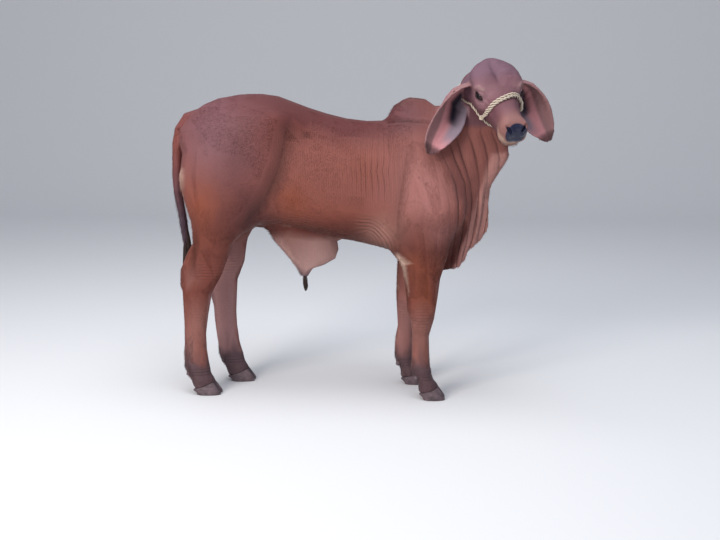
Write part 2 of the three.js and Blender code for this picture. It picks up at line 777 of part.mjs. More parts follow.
const noseCuts = [
  [inHead(376, 0, -60), headward(1, 0, 0.1)],
  [inHead(380, 0, -28), headward(0.3, 0, -1)],
  [inHead(380, 0, -108), headward(0.05, 0, 1)],
  [inHead(382, -39, -31), headward(0.2, 0.95, 0.3)],
  [inHead(382, 39, -31), headward(0.2, -0.95, 0.3)],
].map((cut) => cut.map((v) => v.toArray()));

function openFace(head) {
  let face = head;
  for (const side of [-1, 1]) face = face.add(lids(side));
  for (const side of [-1, 1]) face = face.subtract(eyeball(side, gap)).subtract(nostril(side));
  const facing = headward(1, 0, 0.2).toArray();
  return face.subtract(headSweep(mouthLine, { steps: 16, sides: 4, width: () => 2.6, facing }));
}

for (const region of regions) {
  if (region.name !== 'head') addNode(region.name, flesh(region), region.look ?? coat);
}
const face = openFace(flesh(regionNamed('head')));
addNode('head', without(face, noseCuts), coat);
addNode('nose', within(face, noseCuts), darkSkin);
addNode('eye_right', eyeball(-1), eyeDark);
addNode('eye_left', eyeball(1), eyeDark);

// Ears. Each is a long leaf that hangs out and down from the head, curled into a cup that is deepest by its
// root.
const headSkin = grown('head');

function ear(side) {
  const [rows, columns] = [10, 5];
  const hang = headward(0.6, 0, -0.8);
  const spread = headward(0, side, 0);
  const ahead = headward(0.8, 0, 0.6);
  const root = inHead(earRoot[0], side * earRoot[1], earRoot[2]);
  const wide = profile([0, 34], [0.1, 50], [0.25, 68], [0.5, 72], [0.72, 57], [0.88, 38], [1, 13]);
  const curl = profile([0, 1.9], [0.15, 1.75], [0.35, 1.35], [0.7, 0.9], [1, 0.6]);
  const turnOver = profile([0, 74], [0.2, 60], [0.35, 44], [0.5, 34], [0.75, 24], [1, 16]);
  const outward = profile([0, 0], [0.25, 60], [0.5, 118], [0.8, 184], [1, 212]);
  const downward = profile([0, -2], [0.25, 48], [0.5, 112], [0.8, 188], [1, 230]);
  const swing = side > 0 ? 0.62 : 1;
  const onward = profile([0, 0], [0.25, 44], [0.5, 64], [0.8, 66], [1, 70]);
  const middleAt = (t) => {
    const place = root.clone().addScaledVector(spread, swing * outward(t));
    return place.addScaledVector(hang, downward(t)).addScaledVector(ahead, swing * onward(t));
  };
  const rings = [];
  for (let i = 0; i <= rows; i++) {
    const t = i / rows;
    const middle = middleAt(t);
    const along = middleAt(Math.min(t + 0.02, 1)).sub(middleAt(Math.max(t - 0.02, 0))).normalize();
    const opening = headward(0.5, side * 0.08, 0.86);
    opening.addScaledVector(along, -opening.dot(along)).normalize();
    opening.applyAxisAngle(along, degToRad(side * turnOver(t)));
    const across = vector().crossVectors(along, opening);
    const bend = curl(t);
    const radius = wide(t) / Math.sin(Math.min(bend, Math.PI / 2));
    const lip = radius * Math.cos(Math.min(bend, Math.PI / 2));
    const skin = (r, turn) => {
      const place = middle.clone().addScaledVector(across, r * Math.sin(turn));
      return place.addScaledVector(opening, lip - r * Math.cos(turn)).toArray();
    };
    const turns = Array.from({ length: columns + 1 }, (_, j) => bend * (1 - (2 * j) / columns));
    const back = turns.map((turn) => skin(radius + earThickness / 2, turn));
    const cup = turns.map((turn) => skin(radius - earThickness / 2, turn)).reverse();
    rings.push([...back, ...cup]);
  }
  return folded(rings);
}

// Stacked rings as one closed body, where the first half of each ring is one skin of a leaf and the rest
// the other.
function folded(rings) {
  const sides = rings[0].length;
  const faces = [];
  const quad = (p, q, r, s) => faces.push(p, q, r, p, r, s);
  for (let i = 0; i + 1 < rings.length; i++)
    for (let j = 0; j < sides; j++) {
      const [a, b] = [i * sides + j, i * sides + ((j + 1) % sides)];
      quad(a, b, b + sides, a + sides);
    }
  const last = (rings.length - 1) * sides;
  for (let j = 0; j + 1 < sides / 2; j++) {
    quad(sides - 1 - j, sides - 2 - j, j + 1, j);
    quad(last + j, last + j + 1, last + sides - 2 - j, last + sides - 1 - j);
  }
  const solid = solidFrom(rings.flat(), faces);
  return solid.volume() > 0 ? solid : solidFrom(rings.flat(), faces.reverse());
}

const neckSkin = grown('neck');

// Tail: a bare length of skin and bone, then a switch of long dark locks.
const tailSkin = sweep(
  [
    [-690, 0, 1200], [-748, 0, 1184], [-782, 0, 1118], [-796, 0, 1010], [-799, 0, 905], [-784, 0, 807],
    [-774, 0, 730], [-766, 0, 640], [-762, 0, 560], [-760, 0, 470],
  ],
  {
    steps: 15,
    sides: 7,
    width: profile([0, 34], [0.12, 27], [0.3, 19], [0.6, 15], [0.8, 12], [1, 7]),
    facing: leftward,
  }
);
const switchTop = 640;
addNode('tail', within(tailSkin, [[[0, 0, switchTop], up]]).subtract(grown('torso')), coat);

function tailSwitch() {
  let hair = within(tailSkin, [[[0, 0, switchTop], down]]);
  const count = 12;
  const spiral = 2.4;
  for (let i = 0; i < count; i++) {
    const low = i / (count - 1);
    const turn = i * spiral;
    const out = [Math.cos(turn), Math.sin(turn)];
    const root = [-764 + 4 * low, lerp(616, 476, low)];
    const fall = 136 + 22 * Math.sin(5 * turn);
    const spread = 24 + 7 * Math.cos(3 * turn);
    const at = (reach, drop) => [root[0] + out[0] * reach, out[1] * reach, root[1] - drop];
    const bend = [at(0.8 * spread, 0.26 * fall), at(spread, 0.6 * fall)];
    hair = hair.add(lock([at(2, 0), ...bend, at(0.6 * spread, fall)], 10, 4, [...out, 0.2]));
  }
  return hair;
}

addNode('tail_switch', tailSwitch(), darkHair);

// A tuft of long hairs hangs from the sheath's opening.
function tuft() {
  let hair = lock([[-244, 0, 504], [-243, 0, 484], [-240, 0, 462], [-237, 0, 440]], 7, 7, leftward);
  const count = 4;
  for (let i = 0; i < count; i++) {
    const turn = (2 * Math.PI * i) / count;
    const out = [Math.cos(turn), Math.sin(turn)];
    const at = (reach, z) => [-243 + out[0] * reach, out[1] * reach, z];
    hair = hair.add(lock([at(3, 500), at(7, 486), at(10, 468), at(8, 452 + 3 * i)], 5, 3, [...out, 0.1]));
  }
  return hair;
}

addNode('sheath_tuft', tuft().subtract(grown('sheath')), darkHair);

// Feet. Each has two claws and, behind the fetlock, two dewclaws.
function claw(foot, half) {
  const fore = foot.leg === foreLeg;
  const [length, width, points] = [fore ? 98 : 108, 42, 10];
  const inner = foot.side * (fore ? 112 : 106) + half * (clawGap / 2);
  const levels = [
    { z: 0, toe: 0, heel: -length, grow: 1 },
    { z: 12, toe: -3, heel: -length - 4, grow: 1.05 },
    { toe: -34, heel: -length - 20, grow: 0.96 },
  ];
  const rings = levels.map(({ z, toe, heel, grow }) => {
    const ring = [];
    for (let i = 0; i < points; i++) {
      const turn = (2 * Math.PI * (i + 0.5)) / points;
      const ahead = 0.5 + 0.5 * Math.cos(turn);
      const x = foot.toe + lerp(heel, toe, ahead);
      const across = Math.sin(turn) * half;
      const share = across > 0 ? 0.5 + 0.5 * across ** 0.7 : 0.5 - 0.5 * Math.abs(across) ** 0.35;
      const y = inner + half * width * share * grow * (1 - 0.3 * ahead ** 3);
      ring.push([x, y, z ?? coronetAt(foot, x) - gap / 2]);
    }
    return ring;
  });
  return stacked(rings);
}

function dewclaw(foot, half) {
  const fore = foot.leg === foreLeg;
  const y = foot.side * (fore ? 114 : 107) + half * 18;
  const x = foot.toe - (fore ? 128 : 142);
  const line = [[x + 24, y, 112], [x + 4, y + half, 102], [x - 5, y + half * 2, 86]];
  const width = (t) => lerp(16, 11, t);
  return sweep(line, { steps: 2, sides: 6, width, facing: leftward });
}

for (const foot of feet) {
  const pastern = grown(`${foot.name}_pastern`);
  for (const [half, which] of [[foot.side, 'outer'], [-foot.side, 'inner']]) {
    addNode(`${foot.name}_claw_${which}`, claw(foot, half), hornGrey);
    addNode(`${foot.name}_dewclaw_${which}`, dewclaw(foot, half).subtract(pastern), hornGrey);
  }
}

// Rope halter: a double noseband between two knots, a crownpiece behind the ears and a rope under the chin.
const knots = { right: [196, -69, -130], left: [202, 70, -82] };
const ropeSides = 5;
const onHide = (radius) => (p) => {
  const middle = inHead(...p);
  return ontoSurface(wholeField, ontoSurface(wholeField, middle.toArray(), 40, radius - 1), 40, radius - 1);
};

function ropeOf(points, radius, steps, grow = 0) {
  const rough = new THREE.CatmullRomCurve3(points.map((p) => vector(...p)), false, 'centripetal');
  const line = rough.getSpacedPoints(2 * steps).map((p) => onHide(radius)(p.toArray()));
  const inside = inHead(190, 0, -90);
  const facing = (p) => p.clone().sub(inside).normalize();
  return sweep(line, { steps, sides: ropeSides, width: () => radius + grow, facing });
}

function knot(which, grow = 0) {
  const ball = new THREE.SphereGeometry(10 + grow, 8, 6);
  ball.translate(...onHide(6)(knots[which]));
  return solidOf(ball);
}

const noseband = ropeOf(
  [
    knots.right, [216, -64, -92], [232, -56, -58], [240, -44, -28], [241, -26, -14], [235, -4, -8],
    [224, 24, -8], [212, 52, -24], [204, 68, -52], knots.left,
  ],
  ropeRadius,
  10
);
const secondBand = ropeOf(
  [
    [204, -68, -126], [226, -61, -90], [243, -53, -56], [251, -40, -27], [252, -22, -13], [246, 0, -9],
    [234, 28, -11], [222, 54, -27], [212, 68, -54], [206, 70, -78],
  ],
  ropeRadius,
  10
);
const bands = noseband.add(secondBand).add(knot('right')).add(knot('left'));
addNode('halter_noseband', bands.subtract(headSkin), creamRope);

const crownLine = [
  knots.right, [162, -84, -121], [130, -98, -114], [100, -110, -124], [60, -126, -122], [24, -124, -124],
  [-8, -108, -130], [-36, -78, -130], [-48, -40, -114], [-42, 0, -102], [-22, 42, -120], [10, 68, -140],
  [46, 84, -149], [96, 95, -133], [130, 97, -116], [162, 88, -108], knots.left,
];
const crownSteps = 15;
const crown = ropeOf(crownLine, strapRadius, crownSteps);
const chin = ropeOf(
  [
    knots.right, [204, -52, -156], [212, -26, -172], [214, 0, -176], [212, 26, -172], [208, 52, -150],
    knots.left,
  ],
  strapRadius,
  7
);
const clearOf = (rope) =>
  rope.subtract(knot('right', gap)).subtract(knot('left', gap)).subtract(headSkin).subtract(neckSkin);
addNode('halter_crownpiece', clearOf(crown), creamRope);
addNode('halter_chin_rope', clearOf(chin), creamRope);

// The crownpiece runs under the ears, and each ear gives way to it.
const crownRoom = ropeOf(crownLine, strapRadius, crownSteps, 1.5 * gap);
addNode('ear_right', ear(-1).subtract(headSkin).subtract(neckSkin).subtract(crownRoom), coat);
addNode('ear_left', ear(1).subtract(headSkin).subtract(crownRoom), coat);

const centre = new THREE.Box3().setFromObject(bull).getCenter(vector());
bull.position.set(-centre.x, -centre.y, 0);

export default bull;
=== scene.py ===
import math

import bmesh
import bpy
import numpy as np
from mathutils import Matrix, Vector
from mathutils.bvhtree import BVHTree


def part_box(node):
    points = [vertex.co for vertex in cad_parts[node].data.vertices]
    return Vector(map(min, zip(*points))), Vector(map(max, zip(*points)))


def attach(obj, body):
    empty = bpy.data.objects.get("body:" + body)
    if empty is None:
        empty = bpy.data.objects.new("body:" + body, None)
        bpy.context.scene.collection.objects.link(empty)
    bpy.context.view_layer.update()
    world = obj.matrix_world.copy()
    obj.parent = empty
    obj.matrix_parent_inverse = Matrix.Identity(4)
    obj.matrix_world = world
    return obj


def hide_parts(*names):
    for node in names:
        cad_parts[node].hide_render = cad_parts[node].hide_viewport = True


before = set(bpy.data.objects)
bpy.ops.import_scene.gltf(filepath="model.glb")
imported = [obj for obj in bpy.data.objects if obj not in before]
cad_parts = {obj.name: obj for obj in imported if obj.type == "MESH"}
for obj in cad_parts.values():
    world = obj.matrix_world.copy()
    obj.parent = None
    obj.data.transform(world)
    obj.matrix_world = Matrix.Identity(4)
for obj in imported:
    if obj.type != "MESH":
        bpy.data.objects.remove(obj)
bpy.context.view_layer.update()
scene = bpy.context.scene

# The animal's own axes: x forward, y to its left, z up, with the spine over y 0
torsoFront = 0.464  # x of the torso's front end in those axes
torsoLow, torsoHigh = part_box("torso")
origin = Vector((torsoHigh.x - torsoFront, (torsoLow.y + torsoHigh.y) / 2, 0.0))

# The head's axes: x down the face, y to its left, z out of the forehead. Angles are in degrees
headPose = {"poll": (0.536, -0.062, 1.434), "turn": -72.0, "nod": 37.0, "roll": 6.5}
headFrame = Matrix.Translation(origin) @ Matrix.Translation(headPose["poll"])
for key, axis in (("turn", "Z"), ("nod", "Y"), ("roll", "X")):
    headFrame = headFrame @ Matrix.Rotation(math.radians(headPose[key]), 4, axis)
rightSide, leftSide = -1, 1
bothSides = (rightSide, leftSide)


def inHead(x, y, z):
    return headFrame @ (Vector((x, y, z)) / 1000)  # from millimetres


def headward(x, y, z):
    return (headFrame.to_3x3() @ Vector((x, y, z))).normalized()


def smoothStep(low, high, x):
    t = np.clip((x - low) / (high - low), 0, 1)
    return t * t * (3 - 2 * t)


def bell(distance, width):
    return np.exp(-((distance / width) ** 2))


def unit(vectors):
    return vectors / np.maximum(np.linalg.norm(vectors, axis=1, keepdims=True), 1e-9)


def vertexArray(mesh, source, field):
    values = np.empty(len(mesh.vertices) * 3, np.float32)
    source.foreach_get(field, values)
    return values.reshape(-1, 3).astype(float)


def pointsOf(mesh):
    return vertexArray(mesh, mesh.vertices, "co")


def normalsOf(mesh):
    return vertexArray(mesh, mesh.vertex_normals, "vector")


def setPoints(mesh, points):
    mesh.vertices.foreach_set("co", points.astype(np.float32).ravel())
    mesh.update()


def edgesOf(mesh):
    edges = np.empty(len(mesh.edges) * 2, np.int32)
    mesh.edges.foreach_get("vertices", edges)
    return edges.reshape(-1, 2)


# Values drawn towards the mean of their neighbours by a share, round after round
def relaxed(values, edges, share, rounds):
    a, b = edges.T
    size = len(values)
    count = np.maximum(np.bincount(edges.ravel(), minlength=size), 1)[:, None]
    for turn in range(rounds):
        sums = [np.bincount(a, c[b], size) + np.bincount(b, c[a], size) for c in values.T]
        values = values + share[:, None] * (np.stack(sums, 1) / count - values)
    return values


def newObject(name, mesh, material=None):
    thing = bpy.data.objects.new(name, mesh)
    scene.collection.objects.link(thing)
    if material:
        mesh.materials.append(material)
    return thing


def evaluatedMesh(thing):
    graph = bpy.context.evaluated_depsgraph_get()
    return bpy.data.meshes.new_from_object(thing.evaluated_get(graph))


# An object's mesh with its modifiers applied
def applied(thing):
    mesh = evaluatedMesh(thing)
    thing.modifiers.clear()
    old, thing.data = thing.data, mesh
    bpy.data.meshes.remove(old)
    return thing


def shadeSmooth(mesh):
    mesh.polygons.foreach_set("use_smooth", [True] * len(mesh.polygons))
    mesh.update()


def meshFrom(bm, name):
    mesh = bpy.data.meshes.new(name)
    bm.to_mesh(mesh)
    bm.free()
    return mesh


def mergedCopy(nodes, grow=0.0):
    bm = bmesh.new()
    for name in nodes:
        bm.from_mesh(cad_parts[name].data)
    bmesh.ops.remove_doubles(bm, verts=bm.verts, dist=1e-5)
    bm.normal_update()
    for v in bm.verts:
        v.co += v.normal * grow
    return bm


def remeshed(thing, voxel):
    cells = thing.modifiers.new("cells", "REMESH")
    cells.mode = "VOXEL"
    cells.voxel_size = voxel
    return applied(thing)


# Inputs of a shader node: each a number, a colour or another node's socket
def fill(tree, made, values):
    for key, value in values.items():
        if isinstance(value, bpy.types.NodeSocket):
            tree.links.new(value, made.inputs[key])
        else:
            made.inputs[key].default_value = value
    return made


def shaderNode(tree, kind, values=None, **settings):
    made = tree.nodes.new(kind)
    for key, value in settings.items():
        setattr(made, key, value)
    return fill(tree, made, values or {})


def placed(tree, group, values):
    return shaderNode(tree, "ShaderNodeGroup", values, node_tree=group)


def mathOf(tree, operation, *values):
    return shaderNode(tree, "ShaderNodeMath", dict(enumerate(values)), operation=operation).outputs[0]


def mixOf(tree, share, a, b):
    return shaderNode(tree, "ShaderNodeMix", {"Factor": share, "A": a, "B": b}).outputs["Result"]


def noiseOf(tree, place, scale, detail):
    values = {"Vector": place, "Scale": scale, "Detail": detail}
    return shaderNode(tree, "ShaderNodeTexNoise", values).outputs["Fac"]


def rangeOf(tree, value, low, high, newLow, newHigh):
    values = {"Value": value, "From Min": low, "From Max": high, "To Min": newLow, "To Max": newHigh}
    return shaderNode(tree, "ShaderNodeMapRange", values).outputs["Result"]


def scaledBy(tree, colour, gain):
    values = {0: colour, "Scale": gain}
    return shaderNode(tree, "ShaderNodeVectorMath", values, operation="SCALE").outputs["Vector"]


# A colour ramp through stops, each a place and a colour, from the lowest to the highest
def rampOf(tree, value, stops):
    ramp = shaderNode(tree, "ShaderNodeValToRGB", {"Fac": value})
    low, high = ramp.color_ramp.elements
    for end, (at, colour) in ((low, stops[0]), (high, stops[-1])):
        end.position, end.color = at, (*colour, 1)
    for at, colour in stops[1:-1]:
        ramp.color_ramp.elements.new(at).color = (*colour, 1)
    return ramp.outputs["Color"]


def newGroup(name, inputs, outputs):
    group = bpy.data.node_groups.new(name, "ShaderNodeTree")
    for label, kind, start in inputs:
        socket = group.interface.new_socket(label, in_out="INPUT", socket_type=kind)
        socket.default_value = start
    for label, kind in outputs:
        group.interface.new_socket(label, in_out="OUTPUT", socket_type=kind)
    return group, group.nodes.new("NodeGroupInput"), group.nodes.new("NodeGroupOutput")


def newMaterial(name):
    made = bpy.data.materials.new(name)
    made.use_nodes = True
    tree = made.node_tree
    tree.nodes.clear()
    surface = tree.nodes.new("ShaderNodeBsdfPrincipled")
    out = tree.nodes.new("ShaderNodeOutputMaterial")
    tree.links.new(surface.outputs["BSDF"], out.inputs["Surface"])
    return made, tree, surface


def objectPlace(tree):
    return shaderNode(tree, "ShaderNodeTexCoord").outputs["Object"]


def animalPlace(tree):
    values = {"Vector": objectPlace(tree), "Location": -origin}
    return shaderNode(tree, "ShaderNodeMapping", values).outputs["Vector"]


def bumpOf(tree, height, distance, strength=1.0, normal=None):
    values = {"Height": height, "Distance": distance, "Strength": strength}
    if normal:
        values["Normal"] = normal
    return shaderNode(tree, "ShaderNodeBump", values).outputs["Normal"]


# Short hair seen as bump: streaks along the body, or upright ones where Upright is 1, over softer clumps
def makeFurGrain():
    inputs = [("Place", "NodeSocketVector", (0, 0, 0)), ("Upright", "NodeSocketFloat", 0.0),
              ("Fineness", "NodeSocketFloat", 700.0)]
    group, given, out = newGroup("furGrain", inputs, [("Height", "NodeSocketFloat")])
    place, upright, fineness = (given.outputs[key] for key in ("Place", "Upright", "Fineness"))
    grains = []
    for stretch in ((0.12, 1.0, 1.0), (1.0, 1.0, 0.12)):
        along = shaderNode(group, "ShaderNodeVectorMath", {0: place, 1: stretch}, operation="MULTIPLY")
        grains.append(noiseOf(group, along.outputs["Vector"], fineness, 3.0))
    clumps = noiseOf(group, place, 90.0, 3.0)
    fill(group, out, {"Height": mixOf(group, 0.25, mixOf(group, upright, *grains), clumps)})
    return group


# Wrinkles of the skin: narrow valleys wherever the phase is a whole number, with painted shade in them
def makeSkinWrinkles():
    starts = {"Phase": 0.0, "Depth": 0.0, "Darkness": 0.5}
    inputs = [(key, "NodeSocketFloat", start) for key, start in starts.items()]
    outputs = [(key, "NodeSocketFloat") for key in ("Height", "Shade")]
    group, given, out = newGroup("skinWrinkles", inputs, outputs)
    phase, depth, darkness = (given.outputs[key] for key in ("Phase", "Depth", "Darkness"))
    ridge = mathOf(group, "ABSOLUTE", mathOf(group, "SINE", mathOf(group, "MULTIPLY", phase, math.pi)))
    valley = mathOf(group, "POWER", mathOf(group, "SUBTRACT", 1.0, ridge), 3.0)
    deep = mathOf(group, "MULTIPLY", valley, depth)
    shade = mathOf(group, "SUBTRACT", 1.0, mathOf(group, "MULTIPLY", deep, darkness))
    fill(group, out, {"Height": mathOf(group, "SUBTRACT", 0.0, deep), "Shade": shade})
    return group


# Uneven colour of a coat: broad patches, small flecks and the roughness that goes with them
def makeCoatShade():
    inputs = [("MarkingAndShade", "NodeSocketColor", (0.3, 0.1, 0.06, 1)), ("Place", "NodeSocketVector", (0, 0, 0)),
              ("Unevenness", "NodeSocketFloat", 0.25)]
    outputs = [("Color", "NodeSocketColor"), ("Roughness", "NodeSocketFloat")]
    group, given, out = newGroup("coatShade", inputs, outputs)
    marks, place, unevenness = (given.outputs[key] for key in ("MarkingAndShade", "Place", "Unevenness"))
    broad, small = (noiseOf(group, place, scale, 4.0) for scale in (9.0, 70.0))
    about = rangeOf(group, mathOf(group, "ADD", broad, small), 0.6, 1.4, -0.5, 0.5)
    shaded = scaledBy(group, marks, mathOf(group, "MULTIPLY_ADD", about, unevenness, 1.0))
    fill(group, out, {"Color": shaded, "Roughness": rangeOf(group, small, 0.3, 0.7, 0.55, 0.72)})
    return group


furGrain = makeFurGrain()
skinWrinkles = makeSkinWrinkles()
coatShade = makeCoatShade()


def mixed(base, colour, share):
    return base + np.clip(share, 0, 1)[:, None] * (np.array(colour) - base)


# Places in the animal's axes, in metres. Those on the two left legs, which stand closer together, are moved
# to where they would be on the right ones
stance = {
    "heights": (0.0, 0.2, 0.4, 0.52, 0.6, 0.7, 0.8),
    "hind": (0.111, 0.100, 0.076, 0.046, 0.031, 0.016, 0.0),
    "fore": (-0.084, -0.076, -0.056, -0.040, -0.026, -0.010, 0.0),
}


def placesOf(points):
    return points - np.array(origin)


def standingPlaces(points):
    p = placesOf(points)
    low = (p[:, 1] > 0) * (p[:, 2] < stance["heights"][-1])
    leans = [np.interp(p[:, 2], stance["heights"], stance[k]) for k in ("hind", "fore")]
    lean = np.where(p[:, 0] < 0, *leans)
    p[:, 0] -= low * lean
    return p


def headPlaces(points):
    back = np.array(headFrame.inverted())
    return points @ back[:3, :3].T + back[:3, 3]


# Distance in metres from points to a line through a few places, and how far along it each is, 0 to 1
def alongLine(points, line):
    line = np.array(line, float)
    best, share = np.full(len(points), 1e9), np.zeros(len(points))
    for i in range(len(line) - 1):
        start, step = line[i], line[i + 1] - line[i]
        t = np.clip((points - start) @ step / (step @ step), 0, 1)
        distance = np.linalg.norm(points - start - t[:, None] * step, axis=1)
        nearer = distance < best
        best = np.where(nearer, distance, best)
        share = np.where(nearer, (i + t) / (len(line) - 1), share)
    return best, share


# Colours of the coat and skin, linear
coatColours = {
    "flank": (0.228, 0.071, 0.053),
    "lowFlank": (0.22, 0.058, 0.038),
    # Also laid on every surface that faces upward, as painted skylight tint
    "back": (0.106, 0.020, 0.018),
    "rump": (0.185, 0.082, 0.094),
    "thigh": (0.130, 0.041, 0.042),
    "shoulder": (0.395, 0.163, 0.144),
    # A dark colour used as painted shade in the stifle fold and at the back of the gaskin
    "deep": (0.085, 0.026, 0.026),
    "warm": (0.235, 0.056, 0.024),
    # Partly the belly's own colour, partly painted shade under the belly
    "belly": (0.072, 0.012, 0.007),
    "neck": (0.25, 0.088, 0.072),
    "dewlap": (0.52, 0.25, 0.215),
    "head": (0.160, 0.065, 0.077),
    # Partly the forehead's own colour, partly painted skylight tint on the top of the head
    "forehead": (0.168, 0.084, 0.112),
    "muzzle": (0.250, 0.112, 0.098),
    "lip": (0.50, 0.35, 0.26),
    "leg": (0.165, 0.042, 0.029),
    "cannon": (0.305, 0.134, 0.110),
    "mud": (0.085, 0.052, 0.060),
    "innerLeg": (0.44, 0.235, 0.230),
    "sheath": (0.53, 0.34, 0.31),
    "pale": (0.62, 0.42, 0.33),
    "tail": (0.210, 0.055, 0.043),
    "tailLow": (0.085, 0.050, 0.068),
    "hump": (0.112, 0.039, 0.048),
    "aroundEye": (0.36, 0.195, 0.215),
    "jaw": (0.105, 0.040, 0.048),
    "elbow": (0.36, 0.165, 0.130),
    "hock": (0.30, 0.150, 0.130),
    "earBack": (0.30, 0.150, 0.150),
    "earFlap": (0.27, 0.205, 0.245),
    "earPink": (0.60, 0.26, 0.27),
    # Near black: painted shade in the hollow of the ear near its root
    "earCup": (0.010, 0.008, 0.020),
    "earRim": (0.10, 0.045, 0.045),
    "lid": (0.020, 0.014, 0.020),
    # Black skin with a blue cast that is painted reflection of the sky on the wet pad
    "nosePad": (0.005, 0.0065, 0.036),
}
# Pale strips in x and z, seen only outside some y
paleStrips = {
    "buttock": {"line": [(-0.712, 1.17), (-0.730, 1.12), (-0.740, 1.06), (-0.752, 0.98), (-0.752, 0.88),
                         (-0.735, 0.80)], "width": 0.005, "share": 0.7, "outside": 0.125},
    "stifle": {"line": [(-0.51, 0.687), (-0.48, 0.71), (-0.42, 0.737), (-0.30, 0.735)],
               "width": 0.007, "share": 0.7, "outside": 0.06},
    "elbow": {"line": [(0.168, 0.635), (0.188, 0.60), (0.203, 0.55), (0.214, 0.49)],
              "width": 0.008, "share": 0.95, "outside": 0.12},
}
# Round patches in x and z: colour, middle, reach and share. The broad ones lie under the belly's colour
broadPatches = [("thigh", (-0.50, 1.02), 0.17, 0.9), ("rump", (-0.62, 1.15), 0.16, 0.95)]
colourPatches = [
    ("warm", (-0.65, 0.86), 0.08, 0.75), ("warm", (-0.27, 0.87), 0.07, 0.75),
    ("warm", (0.27, 0.60), 0.06, 0.7), ("warm", (0.285, 0.43), 0.05, 0.8),
    ("warm", (-0.68, 0.60), 0.05, 0.25), ("warm", (-0.66, 0.68), 0.06, 0.4),
    ("warm", (0.02, 1.0), 0.05, 0.3), ("elbow", (0.10, 0.735), 0.075, 0.85),
    # The deep patch below is painted shade at the back of the gaskin
    ("deep", (-0.665, 0.63), 0.060, 0.3), ("shoulder", (0.345, 0.74), 0.065, 0.6),
    ("hock", (-0.735, 0.53), 0.035, 0.7), ("hump", (0.19, 1.22), 0.07, 0.8),
]
# Shadowy strips beside the deep folds: width, share and places along each
shadowStrips = [
    (0.026, 0.42, [(-0.293, 1.17), (-0.300, 1.10), (-0.312, 1.03), (-0.340, 0.94), (-0.395, 0.85),
     (-0.470, 0.77)]),
    (0.009, 0.45, [(-0.193, 1.118), (-0.215, 1.122), (-0.240, 1.130)]),
    (0.020, 0.22, [(-0.55, 1.10), (-0.50, 1.07), (-0.46, 1.08)]),
    (0.008, 0.5, [(-0.683, 0.735), (-0.688, 0.682), (-0.693, 0.635), (-0.706, 0.569), (-0.712, 0.516)]),
    (0.014, 0.28, [(0.20, 1.06), (0.185, 0.95), (0.170, 0.84), (0.172, 0.73)]),
    (0.020, 0.12, [(0.375, 0.97), (0.395, 0.87), (0.365, 0.76), (0.335, 0.64)]),
    (0.016, 0.3, [(0.300, 0.335), (0.270, 0.325)]),
    (0.008, 0.35, [(0.120, 1.185), (0.189, 1.184), (0.245, 1.180)]),
]
# The pale streak over each eye and the outline of the nose pad, in the head's axes
browStreak = [(0.136, 0.100, -0.028), (0.157, 0.090, -0.010), (0.176, 0.076, -0.010)]
padShape = {"middle": -0.062, "half": 0.043, "above": 0.034, "below": 0.047, "behind": 0.345}


# How far points in the head's axes are inside the nose pad, in metres
def insidePad(h):
    up = h[:, 2] - padShape["middle"]
    reach = np.where(up > 0, padShape["above"], padShape["below"])
    q = (np.abs(h[:, 1] / padShape["half"]) ** 2.3 + np.abs(up / reach) ** 2.3) ** (1 / 2.3)
    return np.minimum((1 - q) * padShape["half"], h[:, 0] - padShape["behind"])


# Eyes. The opening is given by its half length, the rise of the upper lid and the drop of the lower
eyeValues = {"radius": 0.0185, "opening": (0.0212, 0.0098, 0.0076), "lid": 0.0024}


def eyeAxes(side):
    low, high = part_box("eye_right" if side < 0 else "eye_left")
    look = headward(0.50, side * 0.76, 0.42)
    corner = headward(0.86, -side * 0.4, -0.32)
    corner = (corner - look * corner.dot(look)).normalized()
    over = look.cross(corner) * side
    return (low + high) / 2, look, corner, over


# 1 on the rim of the lids, less inside the opening and more outside it
def eyeOpening(points, side):
    centre, look, corner, over = (np.array(v) for v in eyeAxes(side))
    length, rise, drop = eyeValues["opening"]
    d = points - centre
    a, b, c = d @ corner, d @ over, d @ look
    shape = (np.abs(a / length) ** 1.7 + np.abs(b / np.where(b > 0, rise, drop)) ** 1.7) ** (1 / 1.7)
    return np.where(c > -0.01, shape, 9.0)


# The same place on either side of the face
def mirroredPlaces(h):
    return h * (1, 0, 1) + np.abs(h) * (0, 1, 0)


def layered(colour, layers):
    for name, amount in layers:
        colour = mixed(colour, coatColours[name], amount)
    return colour
